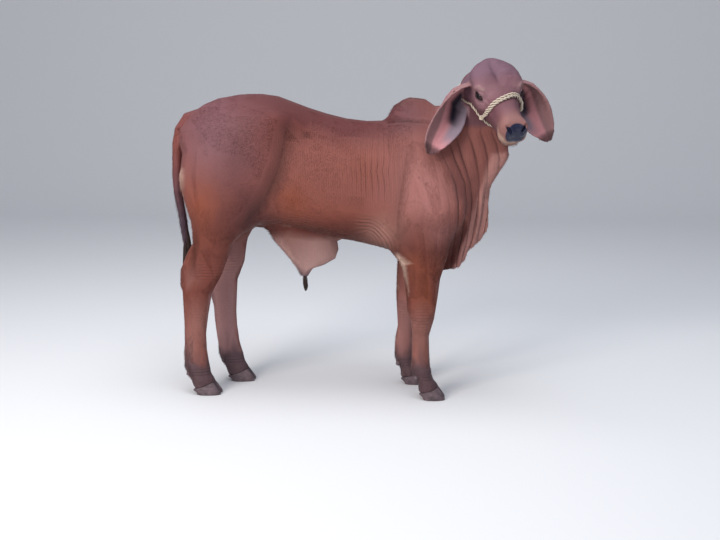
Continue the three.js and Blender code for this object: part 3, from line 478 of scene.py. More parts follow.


# Coat colour at points with normals, from the body up to the face. Skin and tufts both take it from here
# It holds painted shade in the folds, under the belly and by the stifle, and painted skylight tint on the
# tops
def markingAndShade(points, normals, shares):
    p, h = standingPlaces(points), headPlaces(points)
    x, y, z = p.T
    flat, head = p[:, [0, 2]], shares["head"]

    def patches(rows):
        return [(name, amount * bell(np.hypot(x - px, z - pz), far)) for name, (px, pz), far, amount in rows]

    inward = smoothStep(0.0, 0.6, -normals[:, 1] * np.sign(y)) * smoothStep(0.74, 0.62, z)
    hind = 0.3 + 0.5 * smoothStep(0.1, -0.1, x)
    colour = layered(np.tile(np.array(coatColours["flank"]), (len(p), 1)), [
        ("lowFlank", smoothStep(0.90, 0.78, z)),
        # The back colour by height, and by facing upward as painted skylight tint on the tops
        ("back", 0.7 * smoothStep(1.05, 1.2, z) + 0.8 * smoothStep(0.35, 0.8, normals[:, 2])),
        *patches(broadPatches),
        ("shoulder", 0.9 * bell(np.hypot(x - 0.29, (z - 0.91) / 1.5), 0.14)),
        # Darker below about z 0.8: partly the belly's colour, partly painted shade under it
        ("belly", (shares["torso"] + shares["hump"]) * smoothStep(0.84, 0.70, z)),
        # Painted shade in the fold in front of the stifle
        ("deep", 0.85 * bell(np.hypot((x + 0.47) / 0.9, (z - 0.81) / 0.8), 0.13)),
        ("leg", shares["legs"]),
        *patches(colourPatches),
        ("cannon", shares["legs"] * smoothStep(0.44, 0.30, z)),
        ("neck", 0.8 * shares["neck"]),
        ("dewlap", 0.8 * shares["dewlap"]),
        ("head", head * smoothStep(-0.05, 0.04, h[:, 0])),
        # The forehead colour carries painted skylight tint as well as its own
        ("forehead", head * smoothStep(0.17, 0.08, h[:, 0]) * smoothStep(-0.03, 0.03, h[:, 0])),
        ("tail", shares["tail"]),
        ("tailLow", shares["tail"] * smoothStep(1.0, 0.84, z)),
        ("innerLeg", hind * inward * (shares["legs"] + shares["feet"])),
        ("sheath", 0.9 * shares["sheath"] * smoothStep(0.72, 0.66, z)),
        ("tailLow", 0.9 * shares["sheath"] * smoothStep(0.545, 0.525, z)),
        ("sheath", 0.7 * shares["scrotum"]),
    ])
    for strip in paleStrips.values():
        outer = smoothStep(strip["outside"], strip["outside"] + 0.015, np.abs(y))
        near = bell(alongLine(flat, strip["line"])[0], strip["width"])
        colour = mixed(colour, coatColours["pale"], strip["share"] * near * outer)
    for width, amount, line in shadowStrips:
        shadow = amount * bell(alongLine(flat, line)[0], width) * smoothStep(0.03, 0.07, np.abs(y))
        colour = colour * (1 - shadow)[:, None]
    uneven = 0.02 * np.sin(31 * x + 3) * np.sin(47 * y + 17 * z)
    mirrored, pad = mirroredPlaces(h), insidePad(h)
    fromEye = np.linalg.norm((mirrored - (0.170, 0.092, -0.040)) * (1, 0.7, 1.1), axis=1)
    front = smoothStep(0.275, 0.36, h[:, 0]) * head
    besidePad = smoothStep(0.0, 0.012, -pad) * smoothStep(0.045, 0.0, -pad)
    return layered(colour, [
        ("mud", 0.9 * smoothStep(0.175, 0.125, z + uneven)),
        ("aroundEye", 0.8 * head * bell(fromEye, 0.046)),
        ("jaw", 0.8 * head * smoothStep(-0.085, -0.135, h[:, 2])),
        ("muzzle", front),
        ("lip", 0.85 * front * besidePad * smoothStep(-0.065, -0.100, h[:, 2])),
        ("pale", 0.22 * bell(alongLine(mirrored, browStreak)[0], 0.007) * head),
        *[("lid", 0.9 * smoothStep(1.45, 1.08, eyeOpening(points, side))) for side in bothSides],
        ("earBack", shares["ears"]),
        *[(name, shares[name]) for name in ("earPink", "earFlap", "earCup")],
        ("earBack", shares["earBrown"]),
        ("earRim", shares["earRim"]),
        ("nosePad", shares["nosePad"]),
    ])


# Skin: one closed surface over all the flesh, remeshed from the solids
legNames = ["hind_right", "hind_left", "fore_right", "fore_left"]
upperLegs = {"hind": "gaskin", "fore": "forearm"}
fleshNodes = {
    "torso": ["torso"],
    "hump": ["hump"],
    "neck": ["neck"],
    "dewlap": ["dewlap"],
    "head": ["head", "nose", "eye_right", "eye_left"],
    "ears": ["ear_right", "ear_left"],
    "tail": ["tail"],
    "sheath": ["sheath"],
    "scrotum": ["scrotum"],
    "legs": [f"{leg}_{upperLegs[leg[:4]]}" for leg in legNames] + [f"{leg}_cannon" for leg in legNames],
    "feet": [f"{leg}_pastern" for leg in legNames],
}
skinValues = {
    "overlap": 0.0006,  # closes the thin cuts between the solids
    "voxel": 0.004,
    "rounds": 90,
    "smoothing": {
        "torso": 1.0, "hump": 0.3, "neck": 0.8, "dewlap": 0.3, "head": 0.06, "ears": 0.03,
        "tail": 0.1, "sheath": 0.2, "scrotum": 0.4, "legs": 0.2, "feet": 0.10,
    },
    "regained": {"legs": 0.0022, "feet": 0.0012, "tail": 0.002, "torso": 0.001},  # lost to the smoothing
    "triangles": 168000,
}


def largestPiece(thing):
    mesh = thing.data
    edges = edgesOf(mesh)
    label = np.arange(len(mesh.vertices))
    while True:
        low = np.minimum(label[edges[:, 0]], label[edges[:, 1]])
        new = label.copy()
        np.minimum.at(new, edges[:, 0], low)
        np.minimum.at(new, edges[:, 1], low)
        new = new[new]
        if (new == label).all():
            break
        label = new
    main = np.bincount(label).argmax()
    if (label != main).any():
        bm = bmesh.new()
        bm.from_mesh(mesh)
        bm.verts.ensure_lookup_table()
        loose = [bm.verts[i] for i in np.flatnonzero(label != main)]
        bmesh.ops.delete(bm, geom=loose, context="VERTS")
        bm.to_mesh(mesh)
        bm.free()
    return thing


# The region whose node is nearest to each point: 1 for that region and 0 for the others
def nearestShares(points):
    corners, triangles, owner = [], [], []
    for region, names in enumerate(fleshNodes.values()):
        for name in names:
            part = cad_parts[name].data
            part.calc_loop_triangles()
            start = len(corners)
            corners += [v.co.copy() for v in part.vertices]
            triangles += [[start + i for i in t.vertices] for t in part.loop_triangles]
            owner += [region] * len(part.loop_triangles)
    tree = BVHTree.FromPolygons(corners, triangles)
    found = np.array([owner[tree.find_nearest(p)[2]] for p in points.tolist()])
    return (found[:, None] == np.arange(len(fleshNodes))).astype(float)


def weigh(thing, name, weights, steps=64):
    group = thing.vertex_groups.new(name=name)
    level = np.round(np.clip(weights, 0, 1) * steps).astype(int)
    for i in np.unique(level):
        group.add(np.flatnonzero(level == i).tolist(), i / steps, "REPLACE")


def softened(thing, weights, rounds):
    weigh(thing, "softening", weights)
    soften = thing.modifiers.new("soften", "SMOOTH")
    soften.vertex_group = "softening"
    soften.iterations = rounds
    soften.factor = 0.5
    applied(thing)
    thing.vertex_groups.clear()


def makeSkin():
    everyNode = [n for names in fleshNodes.values() for n in names]
    whole = meshFrom(mergedCopy(everyNode, skinValues["overlap"]), "skin")
    thing = largestPiece(remeshed(newObject("skin", whole), skinValues["voxel"]))
    edges, points = edgesOf(thing.data), pointsOf(thing.data)
    print("skin remeshed:", len(points))
    shares = relaxed(nearestShares(points), edges, np.full(len(points), 0.5), 8)
    softening = shares @ np.array([skinValues["smoothing"][region] for region in fleshNodes])
    behindHump = np.linalg.norm(placesOf(points)[:, [0, 2]] - (0.145, 1.205), axis=1)
    softened(thing, softening * (1 - 0.85 * bell(behindHump, 0.06)), skinValues["rounds"])
    regained = shares @ np.array([skinValues["regained"].get(region, 0) for region in fleshNodes])
    setPoints(thing.data, pointsOf(thing.data) + regained[:, None] * normalsOf(thing.data))
    print("skin smoothed")
    return thing, dict(zip(fleshNodes, shares.T))


skin, share = makeSkin()
shadeSmooth(skin.data)


# Folds of the body in x and z, on both sides: width, depth and places along each. A bulge has a depth below 0
bodyFolds = [
    (0.026, 0.010, [(-0.290, 1.185), (-0.294, 1.132), (-0.299, 1.073), (-0.315, 0.998), (-0.353, 0.910),
     (-0.428, 0.804), (-0.480, 0.745)]),
    (0.050, -0.009, [(-0.40, 1.13), (-0.385, 1.05), (-0.40, 0.96), (-0.45, 0.87)]),
    (0.013, 0.004, [(-0.69, 1.06), (-0.688, 0.95), (-0.675, 0.84), (-0.668, 0.74)]),
    (0.010, 0.003, [(-0.62, 0.72), (-0.595, 0.67), (-0.565, 0.64)]),
    (0.020, 0.006, [(0.205, 1.06), (0.188, 0.95), (0.172, 0.84), (0.172, 0.73)]),
    (0.030, -0.003, [(0.250, 1.04), (0.236, 0.94), (0.228, 0.84)]),
    (0.018, 0.004, [(0.330, 1.07), (0.362, 0.97), (0.378, 0.87), (0.350, 0.76)]),
    (0.016, 0.004, [(0.262, 0.97), (0.300, 0.88), (0.325, 0.80)]),
    (0.040, -0.006, [(0.345, 0.84), (0.365, 0.80)]),
    (0.013, 0.003, [(0.250, 0.76), (0.262, 0.68), (0.262, 0.60)]),
    (0.009, 0.007, [(0.120, 1.192), (0.140, 1.187), (0.189, 1.189), (0.245, 1.184), (0.300, 1.176)]),
    (0.013, -0.006, [(0.140, 1.208), (0.165, 1.212)]),
    (0.012, 0.003, [(-0.60, 0.665), (-0.52, 0.715), (-0.44, 0.745), (-0.34, 0.75)]),
    (0.010, 0.005, [(-0.19, 1.123), (-0.212, 1.128), (-0.235, 1.135)]),
    (0.020, -0.006, [(-0.205, 1.160), (-0.230, 1.168)]),
]
# The same on the legs, in standing places
legFolds = [
    (0.011, 0.007, [(-0.681, 0.738), (-0.685, 0.682), (-0.690, 0.635), (-0.703, 0.569), (-0.709, 0.516)]),
    (0.012, 0.003, [(-0.664, 0.65), (-0.643, 0.597), (-0.629, 0.544)]),
    (0.009, 0.004, [(-0.718, 0.48), (-0.724, 0.40), (-0.724, 0.28), (-0.722, 0.17)]),
    (0.024, -0.0035, [(-0.652, 0.51), (-0.668, 0.47)]),
    (0.020, -0.004, [(-0.735, 0.60), (-0.740, 0.56)]),
    (0.012, 0.003, [(0.272, 0.62), (0.266, 0.53), (0.262, 0.45)]),
    (0.020, -0.003, [(0.222, 0.60), (0.228, 0.52)]),
    (0.022, -0.005, [(0.300, 0.42), (0.296, 0.37)]),
    (0.016, -0.004, [(0.232, 0.42), (0.232, 0.39)]),
    (0.008, 0.004, [(0.262, 0.44), (0.256, 0.38)]),
    (0.012, 0.002, [(0.290, 0.335), (0.250, 0.335)]),
    (0.009, 0.004, [(0.258, 0.32), (0.260, 0.24), (0.262, 0.16)]),
]
# Pleats of the neck and dewlap: the x of each valley at heights going down
pleatHeights = (1.14, 1.09, 1.03, 0.98, 0.93, 0.86, 0.78, 0.68, 0.60)
pleatValleys = [
    (0.180, 0.205, 0.235, 0.262, 0.285, 0.305, 0.315, 0.310, 0.305),
    (0.260, 0.285, 0.315, 0.340, 0.362, 0.380, 0.385, 0.375, 0.365),
    (0.318, 0.338, 0.360, 0.385, 0.405, 0.418, 0.418, 0.405, 0.395),
    (0.362, 0.380, 0.402, 0.426, 0.446, 0.452, 0.448, 0.435, 0.420),
    (0.398, 0.414, 0.434, 0.452, 0.468, 0.478, 0.474, 0.460, 0.442),
    (0.450, 0.472, 0.490, 0.500, 0.507, 0.505, 0.498, 0.482, 0.460),
    (0.505, 0.524, 0.538, 0.540, 0.540, 0.530, 0.522, 0.505, 0.478),
    (0.552, 0.574, 0.588, 0.585, 0.570, 0.552, 0.545, 0.530, 0.500),
]
# The same on both sides of the face, in the head's axes
headFolds = [
    (0.010, -0.003, [(0.205, 0.070, -0.078), (0.25, 0.060, -0.083), (0.30, 0.052, -0.088)]),
    (0.010, 0.002, [(0.20, 0.080, -0.102), (0.26, 0.062, -0.108)]),
    (0.009, 0.0025, [(0.148, 0.094, -0.085), (0.166, 0.088, -0.12), (0.165, 0.076, -0.155)]),
    (0.007, -0.003, [(0.133, 0.101, -0.030), (0.157, 0.090, -0.008), (0.180, 0.074, -0.008)]),
    (0.0035, 0.0025, [(0.142, 0.102, -0.046), (0.158, 0.096, -0.025), (0.184, 0.080, -0.019)]),
    (0.004, 0.002, [(0.150, 0.098, -0.070), (0.176, 0.090, -0.071), (0.200, 0.076, -0.058)]),
    (0.005, 0.002, [(0.196, 0.068, -0.040), (0.228, 0.060, -0.048)]),
    (0.012, -0.0015, [(0.212, 0.060, -0.034), (0.29, 0.047, -0.048)]),
    (0.008, -0.0025, [(0.366, 0.036, -0.030), (0.380, 0.036, -0.034)]),
    (0.007, 0.0015, [(0.340, 0.047, -0.070), (0.330, 0.050, -0.100)]),
    (0.026, -0.0045, [(0.085, 0.034, 0.01), (0.125, 0.036, 0.005)]),
    (0.018, -0.003, [(0.020, 0.0, 0.0), (0.040, 0.0, 0.01)]),
]
foreheadCrease = [(0.035, -0.006, 0.018), (0.061, -0.012, 0.020), (0.089, -0.010, 0.015),
                  (0.121, -0.006, 0.009), (0.155, -0.003, 0.003)]


def pleatPhase(p):
    valleys = [np.interp(-p[:, 2], [-h for h in pleatHeights], v) for v in pleatValleys]
    first = (p[:, 0] - valleys[0]) / (valleys[1] - valleys[0])
    phase = np.minimum(first, 0)
    for low, high in zip(valleys, valleys[1:]):
        phase = phase + np.clip((p[:, 0] - low) / (high - low), 0, 1)
    last = (p[:, 0] - valleys[-1]) / (valleys[-1] - valleys[-2])
    return phase + np.maximum(last, 0)


# Smooth unevenness between 0.3 and 1 over x and z, in patches of about 3 / pace metres
def patchy(x, z, pace):
    slanted = np.sin(pace * x + 0.7 * pace * z + 1) + np.sin(1.7 * pace * x - 1.1 * pace * z)
    return 0.65 + 0.35 * (slanted + np.sin(2.3 * pace * z + 2)) / 3


# How far a narrow fold strays from its even course, in metres
def waviness(x, z):
    return 0.0025 * np.sin(23 * x + 31 * z) + 0.002 * np.sin(61 * x - 17 * z + 1)


# Narrow folds that bow over the elbow, and others along the lower edge of the flank: phases and shares
def smallFolds(p, torso):
    x, z = p[:, 0], p[:, 2]
    wavy, uneven = waviness(x, z), patchy(x, z, 45)
    reach = np.hypot(x - 0.02, z - 0.655)
    arcs = torso * bell(reach - 0.105, 0.036) * smoothStep(-0.05, 0.02, x) * smoothStep(0.61, 0.66, z)
    flank = torso * bell(z - 0.765, 0.026) * bell(x + 0.26, 0.12)
    return ((reach + 1.5 * wavy) / 0.017, arcs * uneven), ((z + 0.1 * x + 1.4 * wavy) / 0.014, flank * uneven)


def pleatShare(p, shares):
    onNeck = shares["neck"] * smoothStep(0.30, 0.42, p[:, 0]) * smoothStep(1.20, 1.10, p[:, 2])
    onBreast = shares["torso"] * smoothStep(0.36, 0.42, p[:, 0]) * smoothStep(0.98, 0.90, p[:, 2])
    return np.clip(onNeck + shares["dewlap"] + onBreast, 0, 1)


def folded(p, folds):
    push = np.zeros(len(p))
    for width, depth, line in folds:
        far, along = alongLine(p, line)
        ends = 0.35 + 0.65 * np.sin(np.pi * np.clip(along, 0.02, 0.98))
        push -= depth * bell(far, width) * ends
        if depth > 0:
            push += 0.35 * depth * bell(far - 1.9 * width, width) * ends
    return push


def facingSideways(normals):
    return smoothStep(0.1, 0.5, np.abs(normals[:, 1]))


# How deep the pleats, the small folds and the notch behind the hump are, and how far the dewlap sways aside
bodyValues = {"pleats": 0.0085, "smallFolds": 0.0032, "notch": 0.012, "sway": 0.009}


def sculptBody(mesh, shares):
    v = bodyValues
    points, normals = pointsOf(mesh), normalsOf(mesh)
    p, standing = placesOf(points), standingPlaces(points)
    sideways = facingSideways(normals)
    trunk = shares["torso"] + shares["hump"] + shares["neck"] * smoothStep(0.42, 0.34, p[:, 0])
    legs = shares["legs"] + shares["feet"]
    body = np.clip(trunk + legs * smoothStep(0.6, 0.7, p[:, 2]), 0, 1)
    push = folded(p[:, [0, 2]], bodyFolds) * sideways * body
    push += folded(standing[:, [0, 2]], legFolds) * sideways * legs
    x, z = standing[:, 0], standing[:, 2]
    push += legs * 0.0028 * bell(z - 0.128, 0.026)  # fetlocks
    push -= legs * 0.0015 * bell(z - 0.083, 0.018)  # pasterns
    push += legs * 0.002 * bell(z - 0.395, 0.05) * (x > 0)  # knees
    phase, pleats = pleatPhase(p), pleatShare(p, shares)
    ridges = np.abs(np.sin(np.pi * phase)) ** 0.5 - 0.75
    push += v["pleats"] * ridges * pleats * patchy(p[:, 0], p[:, 2], 13)
    for phase, amount in smallFolds(p, shares["torso"]):
        push += v["smallFolds"] * (np.abs(np.sin(np.pi * phase)) ** 0.8 - 0.6) * amount
    points = points + push[:, None] * normals
    notch = bell(p[:, 0] - 0.112, 0.024) * (shares["hump"] + shares["torso"])
    points[:, 2] -= v["notch"] * (notch * smoothStep(1.17, 1.19, p[:, 2]))
    sway = v["sway"] * np.sin(math.pi * pleatPhase(p)) * shares["dewlap"] * smoothStep(0.98, 0.80, p[:, 2])
    points[:, 1] += sway * smoothStep(0.44, 0.52, p[:, 0])
    setPoints(mesh, points)


sculptBody(skin.data, share)
print("body sculpted")


# Thinned where the body is smooth, and cut finer round the eyes, nose and mouth
faceValues = {
    "eyeReaches": (0.046, 0.030),
    "nostril": [(0.378, 0.038, -0.040), (0.387, 0.032, -0.043), (0.392, 0.025, -0.052),
                (0.392, 0.022, -0.066)],
    "mouth": [(0.292, 0.058, -0.126), (0.34, 0.047, -0.124), (0.375, 0.03, -0.12), (0.392, 0.012, -0.117)],
    "depths": {"nostril": 0.0085, "mouth": 0.0034, "crease": 0.0055, "groove": 0.0010},
    "rims": {"nostril": 0.0016, "mouth": 0.0015, "pad": 0.0012},
}


def thinned(thing, protected, triangles):
    weigh(thing, "protected", protected)
    thin = thing.modifiers.new("thin", "DECIMATE")
    thin.ratio = triangles / (2 * len(thing.data.polygons))
    thin.vertex_group = "protected"
    thin.invert_vertex_group = True
    thin.vertex_group_factor = 4.0
    thin.use_collapse_triangulate = True
    applied(thing)
    thing.vertex_groups.clear()


def cutFiner(mesh, inside):
    bm = bmesh.new()
    bm.from_mesh(mesh)
    bm.verts.ensure_lookup_table()
    edges = [e for e in bm.edges if inside[e.verts[0].index] and inside[e.verts[1].index]]
    bmesh.ops.subdivide_edges(bm, edges=edges, cuts=1, use_grid_fill=True)
    bmesh.ops.triangulate(bm, faces=[f for f in bm.faces if len(f.verts) > 3])
    bm.to_mesh(mesh)
    bm.free()


def nearEyes(points, reach):
    spots = [np.array(eyeAxes(side)[0]) for side in bothSides]
    return np.any([np.linalg.norm(points - s, axis=1) < reach for s in spots], axis=0)


def nearMuzzle(points):
    h = headPlaces(points)
    lines = [np.array(faceValues[k]) * (1, s, 1) for k in ("nostril", "mouth") for s in bothSides]
    onPad = (np.abs(insidePad(h)) < 0.007) & (h[:, 2] > -0.14) & (h[:, 2] < 0)
    return onPad | np.any([alongLine(h, line)[0] < 0.016 for line in lines], axis=0)


def openEye(points, side):
    centre, look, corner, over = (np.array(v) for v in eyeAxes(side))
    radius, lid = eyeValues["radius"], eyeValues["lid"]
    rise, drop = eyeValues["opening"][1:]
    d = points - centre
    b, c = d @ over, d @ look
    r = np.hypot(d @ corner, b)
    opening = eyeOpening(points, side)
    ball = np.sqrt(np.maximum(radius**2 - r**2, 1e-6))
    cap = np.sqrt(np.maximum((radius + lid) ** 2 - np.minimum(r, radius * 0.86) ** 2, 1e-6))
    outside = c + (1 - smoothStep(1.1, 2.0, opening)) * (cap - c)
    rim = bell(opening - 1.12, 0.12) * 0.0012
    crease = bell(opening - 1.6, 0.16) * smoothStep(-0.2, 0.6, b / rise) * 0.0028
    under = bell(opening - 1.6, 0.18) * smoothStep(0.0, 0.8, -b / drop) * 0.0016
    outside = outside + rim - crease - under
    inner = smoothStep(0.90, 1.02, opening)
    depth = (ball - 0.004) * (1 - inner) + outside * inner
    near = (r < 0.05) & (c > -0.01)
    return points + np.where(near, depth - c, 0)[:, None] * look


def sculptFace(mesh):
    depths, rims = faceValues["depths"], faceValues["rims"]
    edges, points = edgesOf(mesh), pointsOf(mesh)
    for side in bothSides:
        near = np.linalg.norm(points - np.array(eyeAxes(side)[0]), axis=1) < 0.036
        points = relaxed(points, edges, 0.5 * near, 14)
    setPoints(mesh, points)
    for side in bothSides:
        points = openEye(points, side)
    setPoints(mesh, points)
    normals, h = normalsOf(mesh), headPlaces(points)
    mirrored = mirroredPlaces(h)
    onHead = smoothStep(0.30, 0.26, np.linalg.norm(h - (0.17, 0, -0.08), axis=1))
    push = folded(mirrored, headFolds)
    far, along = alongLine(mirrored, faceValues["nostril"])
    push -= depths["nostril"] * bell(far, 0.0042) * (0.55 + 0.45 * np.sin(np.pi * along))
    push += rims["nostril"] * bell(far - 0.0095, 0.0040)
    far, along = alongLine(mirrored, faceValues["mouth"])
    push -= depths["mouth"] * bell(far, 0.0022)
    push += rims["mouth"] * bell(far - 0.007, 0.004)
    push -= depths["crease"] * bell(alongLine(h, foreheadCrease)[0], 0.015)
    pad = insidePad(h)
    push += rims["pad"] * smoothStep(-0.002, 0.004, pad)
    groove = depths["groove"] * bell(h[:, 1], 0.0025) * smoothStep(0.0, 0.004, pad)
    push -= groove * smoothStep(-0.05, -0.075, h[:, 2])
    setPoints(mesh, points + (push * onHead)[:, None] * normals)


# How far each point is held back from thinning: the face, ears, feet and folds
def detailShare(p):
    folds = 0.6 * pleatShare(p, share) + 0.8 * sum(amount for _, amount in smallFolds(p, share["torso"]))
    return np.clip(1.3 * share["head"] + share["ears"] + 0.3 * share["feet"] + folds, 0, 1)


thinned(skin, detailShare(placesOf(pointsOf(skin.data))), skinValues["triangles"])
for reach in faceValues["eyeReaches"]:
    cutFiner(skin.data, nearEyes(pointsOf(skin.data), reach))
cutFiner(skin.data, nearMuzzle(pointsOf(skin.data)))
sculptFace(skin.data)
shadeSmooth(skin.data)
print("skin sculpted:", len(skin.data.polygons))

# Regions, markings and the lie of the hair, at each point of the finished skin
skinPoints, skinEdges = pointsOf(skin.data), edgesOf(skin.data)
skinNormals = normalsOf(skin.data)
found = relaxed(nearestShares(skinPoints), skinEdges, np.full(len(skinPoints), 0.5), 14)
share = dict(zip(fleshNodes, found.T))

# Each ear is a curled leaf along a middle line from its root: how far out, down and on it is at shares of its
# length, how wide, how far it is turned over and how tightly it is curled
earValues = {
    "root": (0.074, 0.086, -0.086),
    "along": (0, 0.25, 0.5, 0.8, 1),
    "out": (0, 0.060, 0.118, 0.184, 0.212),
    "down": (-0.002, 0.048, 0.112, 0.188, 0.230),
    "on": (0, 0.044, 0.064, 0.066, 0.070),
    "swing": {rightSide: 1.0, leftSide: 0.62},
    "turnedOver": (74, 54, 34, 22, 16),
    "half": (0.034, 0.068, 0.072, 0.050, 0.013),
    "curl": (1.9, 1.5, 1.15, 0.8, 0.6),
}


# For points of an ear: the share of its length, the share of its half width towards the back edge, and how
# far they face into its hollow
def earPlaces(h, normals, side):
    v = earValues
    t = np.linspace(0, 1, 41)
    out, down, on, turned, half, curl = (
        np.interp(t, v["along"], v[key]) for key in ("out", "down", "on", "turnedOver", "half", "curl")
    )
    out, on = out * v["swing"][side], on * v["swing"][side]
    x0, y0, z0 = v["root"]
    line = np.stack([x0 + 0.6 * down + 0.8 * on, side * (y0 + out), z0 - 0.8 * down + 0.6 * on], 1)
    along = unit(np.gradient(line, axis=0))
    opening = np.array([0.5, side * 0.08, 0.86]) - along * (along @ (0.5, side * 0.08, 0.86))[:, None]
    turn = np.radians(side * turned)[:, None]
    opening = unit(unit(opening) * np.cos(turn) + np.cross(along, unit(opening)) * np.sin(turn))
    across = np.cross(along, opening)
    nearest = np.linalg.norm(h[:, None] - line[None], axis=2).argmin(1)
    offset = h - line[nearest]
    aside = -side * (offset * across[nearest]).sum(1) / half[nearest]
    bend = np.minimum(curl, math.pi / 2)
    middle = line + opening * (half / np.tan(bend))[:, None]
    inward = unit(middle[nearest] - h)
    return t[nearest], aside, (normals * inward).sum(1)


def earShares():
    names = ("earPink", "earFlap", "earCup", "earBrown", "earRim", "earRidge")
    made = {name: np.zeros(len(skinPoints)) for name in names}
    turned = np.array(headFrame.to_3x3())
    for side in bothSides:
        chosen = np.flatnonzero((share["ears"] > 0.05) & (skinHeadPlaces[:, 1] * side > 0))
        t, aside, facing = earPlaces(skinHeadPlaces[chosen], skinNormals[chosen] @ turned, side)
        ears = share["ears"][chosen]
        inside = ears * smoothStep(-0.1, 0.35, facing)
        made["earPink"][chosen] = inside
        made["earFlap"][chosen] = inside * smoothStep(-0.2, -0.65, aside) * smoothStep(0.85, 0.6, t)
        # The cup: painted shade deep in the ear's hollow
        made["earCup"][chosen] = inside * bell(aside + 0.45, 0.33) * smoothStep(0.58, 0.40, t)
        made["earBrown"][chosen] = inside * smoothStep(0.14, 0.38, aside + 0.25 * (t - 0.3))
        made["earRim"][chosen] = 0.85 * ears * smoothStep(0.84, 0.92, t) * smoothStep(-0.6, 0.2, facing)
        ridge = inside * np.cos(7 * aside) * smoothStep(0.1, 0.3, t)
        made["earRidge"][chosen] = ridge * smoothStep(0.85, 0.6, t)
    return made


skinHeadPlaces = headPlaces(skinPoints)
share.update(earShares())
setPoints(skin.data, skinPoints + 0.0012 * share["earRidge"][:, None] * skinNormals)
skinPoints, skinNormals = pointsOf(skin.data), normalsOf(skin.data)
share["nosePad"] = smoothStep(-0.0015, 0.0015, insidePad(skinHeadPlaces)) * np.clip(share["head"] * 2, 0, 1)
skinColour = markingAndShade(skinPoints, skinNormals, share)


# Wrinkles too narrow for the surface, each region's in its own direction: the larger folds, and fine ones
# that cross the neck and ribs. Each is a phase, whole in the valleys, and a depth
def strongest(regions):
    phases, depths = (np.stack(q, 1) for q in zip(*regions))
    ordered = np.sort(depths, axis=1)
    rows = np.arange(len(phases))
    return phases[rows, depths.argmax(1)], np.clip(ordered[:, -1] - ordered[:, -2], 0, 1)


def wrinkleFields():
    p, standing = placesOf(skinPoints), standingPlaces(skinPoints)
    x, z = p[:, 0], p[:, 2]
    wavy, sideways = waviness(x, z), facingSideways(skinNormals)
    torso = share["torso"] * sideways
    legs = share["legs"] + share["feet"]
    height = standing[:, 2]
    bends = legs * (bell(height - 0.54, 0.03) + bell(height - 0.36, 0.03) + bell(height - 0.10, 0.02))
    ribs = torso * bell(x - 0.07, 0.085) * smoothStep(0.82, 0.92, z) * smoothStep(1.20, 1.14, z)
    ribs *= 1.6 * patchy(9 * x, z, 11) - 0.45
    neck = share["neck"] + share["dewlap"] + share["torso"] * smoothStep(0.25, 0.35, x)
    folds = [
        (pleatPhase(p), pleatShare(p, share) * patchy(x, z, 13)),
        ((x + 0.04 * z + wavy + 0.008 * np.sin(34 * x)) / 0.021, 0.7 * np.clip(ribs, 0, 1)),
        *smallFolds(p, share["torso"]),
        (z / 0.013, 0.6 * bends),
    ]
    ribsAll = torso * smoothStep(-0.40, -0.25, x) * smoothStep(0.26, 0.18, x) * smoothStep(0.78, 0.9, z)
    fine = [
        (3.0 * pleatPhase(p), 0.8 * neck * smoothStep(0.16, 0.28, x)),
        ((x + 0.03 * z) / 0.0095, 0.7 * ribsAll * smoothStep(1.2, 1.1, z)),
        (x / 0.012, 0.6 * share["sheath"]),
    ]
    return strongest(folds), strongest(fine)


def addAttribute(mesh, name, values):
    if values.ndim > 1:
        made = mesh.attributes.new(name, "FLOAT_COLOR", "POINT")
        made.data.foreach_set("color", np.c_[values, np.ones(len(values))].astype(np.float32).ravel())
    else:
        made = mesh.attributes.new(name, "FLOAT", "POINT")
        made.data.foreach_set("value", values.astype(np.float32))


# Hair runs down the neck, legs and tail, and along the body elsewhere
hangingRegions = ("neck", "dewlap", "legs", "feet", "tail", "head", "ears")
runsDown = np.sum([share[name] for name in hangingRegions], axis=0)
(foldPhase, foldDepth), (finePhase, fineDepth) = wrinkleFields()
skinFields = {
    "markingAndShade": skinColour, "wet": share["nosePad"], "runsDown": np.clip(runsDown, 0, 1),
    "foldPhase": foldPhase, "foldDepth": foldDepth, "finePhase": finePhase, "fineDepth": fineDepth,
}
for name, values in skinFields.items():
    addAttribute(skin.data, name, values)


def attributeOf(tree, name, output="Fac"):
    return shaderNode(tree, "ShaderNodeAttribute", None, attribute_name=name).outputs[output]


# The coat's colour and sheen on a surface. Gives back its roughness
def coatSurface(tree, surface, place, marks):
    shade = placed(tree, coatShade, {"MarkingAndShade": marks, "Place": place, "Unevenness": 0.13})
    values = {"Base Color": shade.outputs["Color"], "Sheen Weight": 0.03, "Specular IOR Level": 0.25}
    fill(tree, surface, values)
    return shade.outputs["Roughness"]


def makeHairyMaterial():
    made, tree, surface = newMaterial("coatHair")
    rough = coatSurface(tree, surface, animalPlace(tree), attributeOf(tree, "markingAndShade", "Color"))
    fill(tree, surface, {"Roughness": rough})
    return made


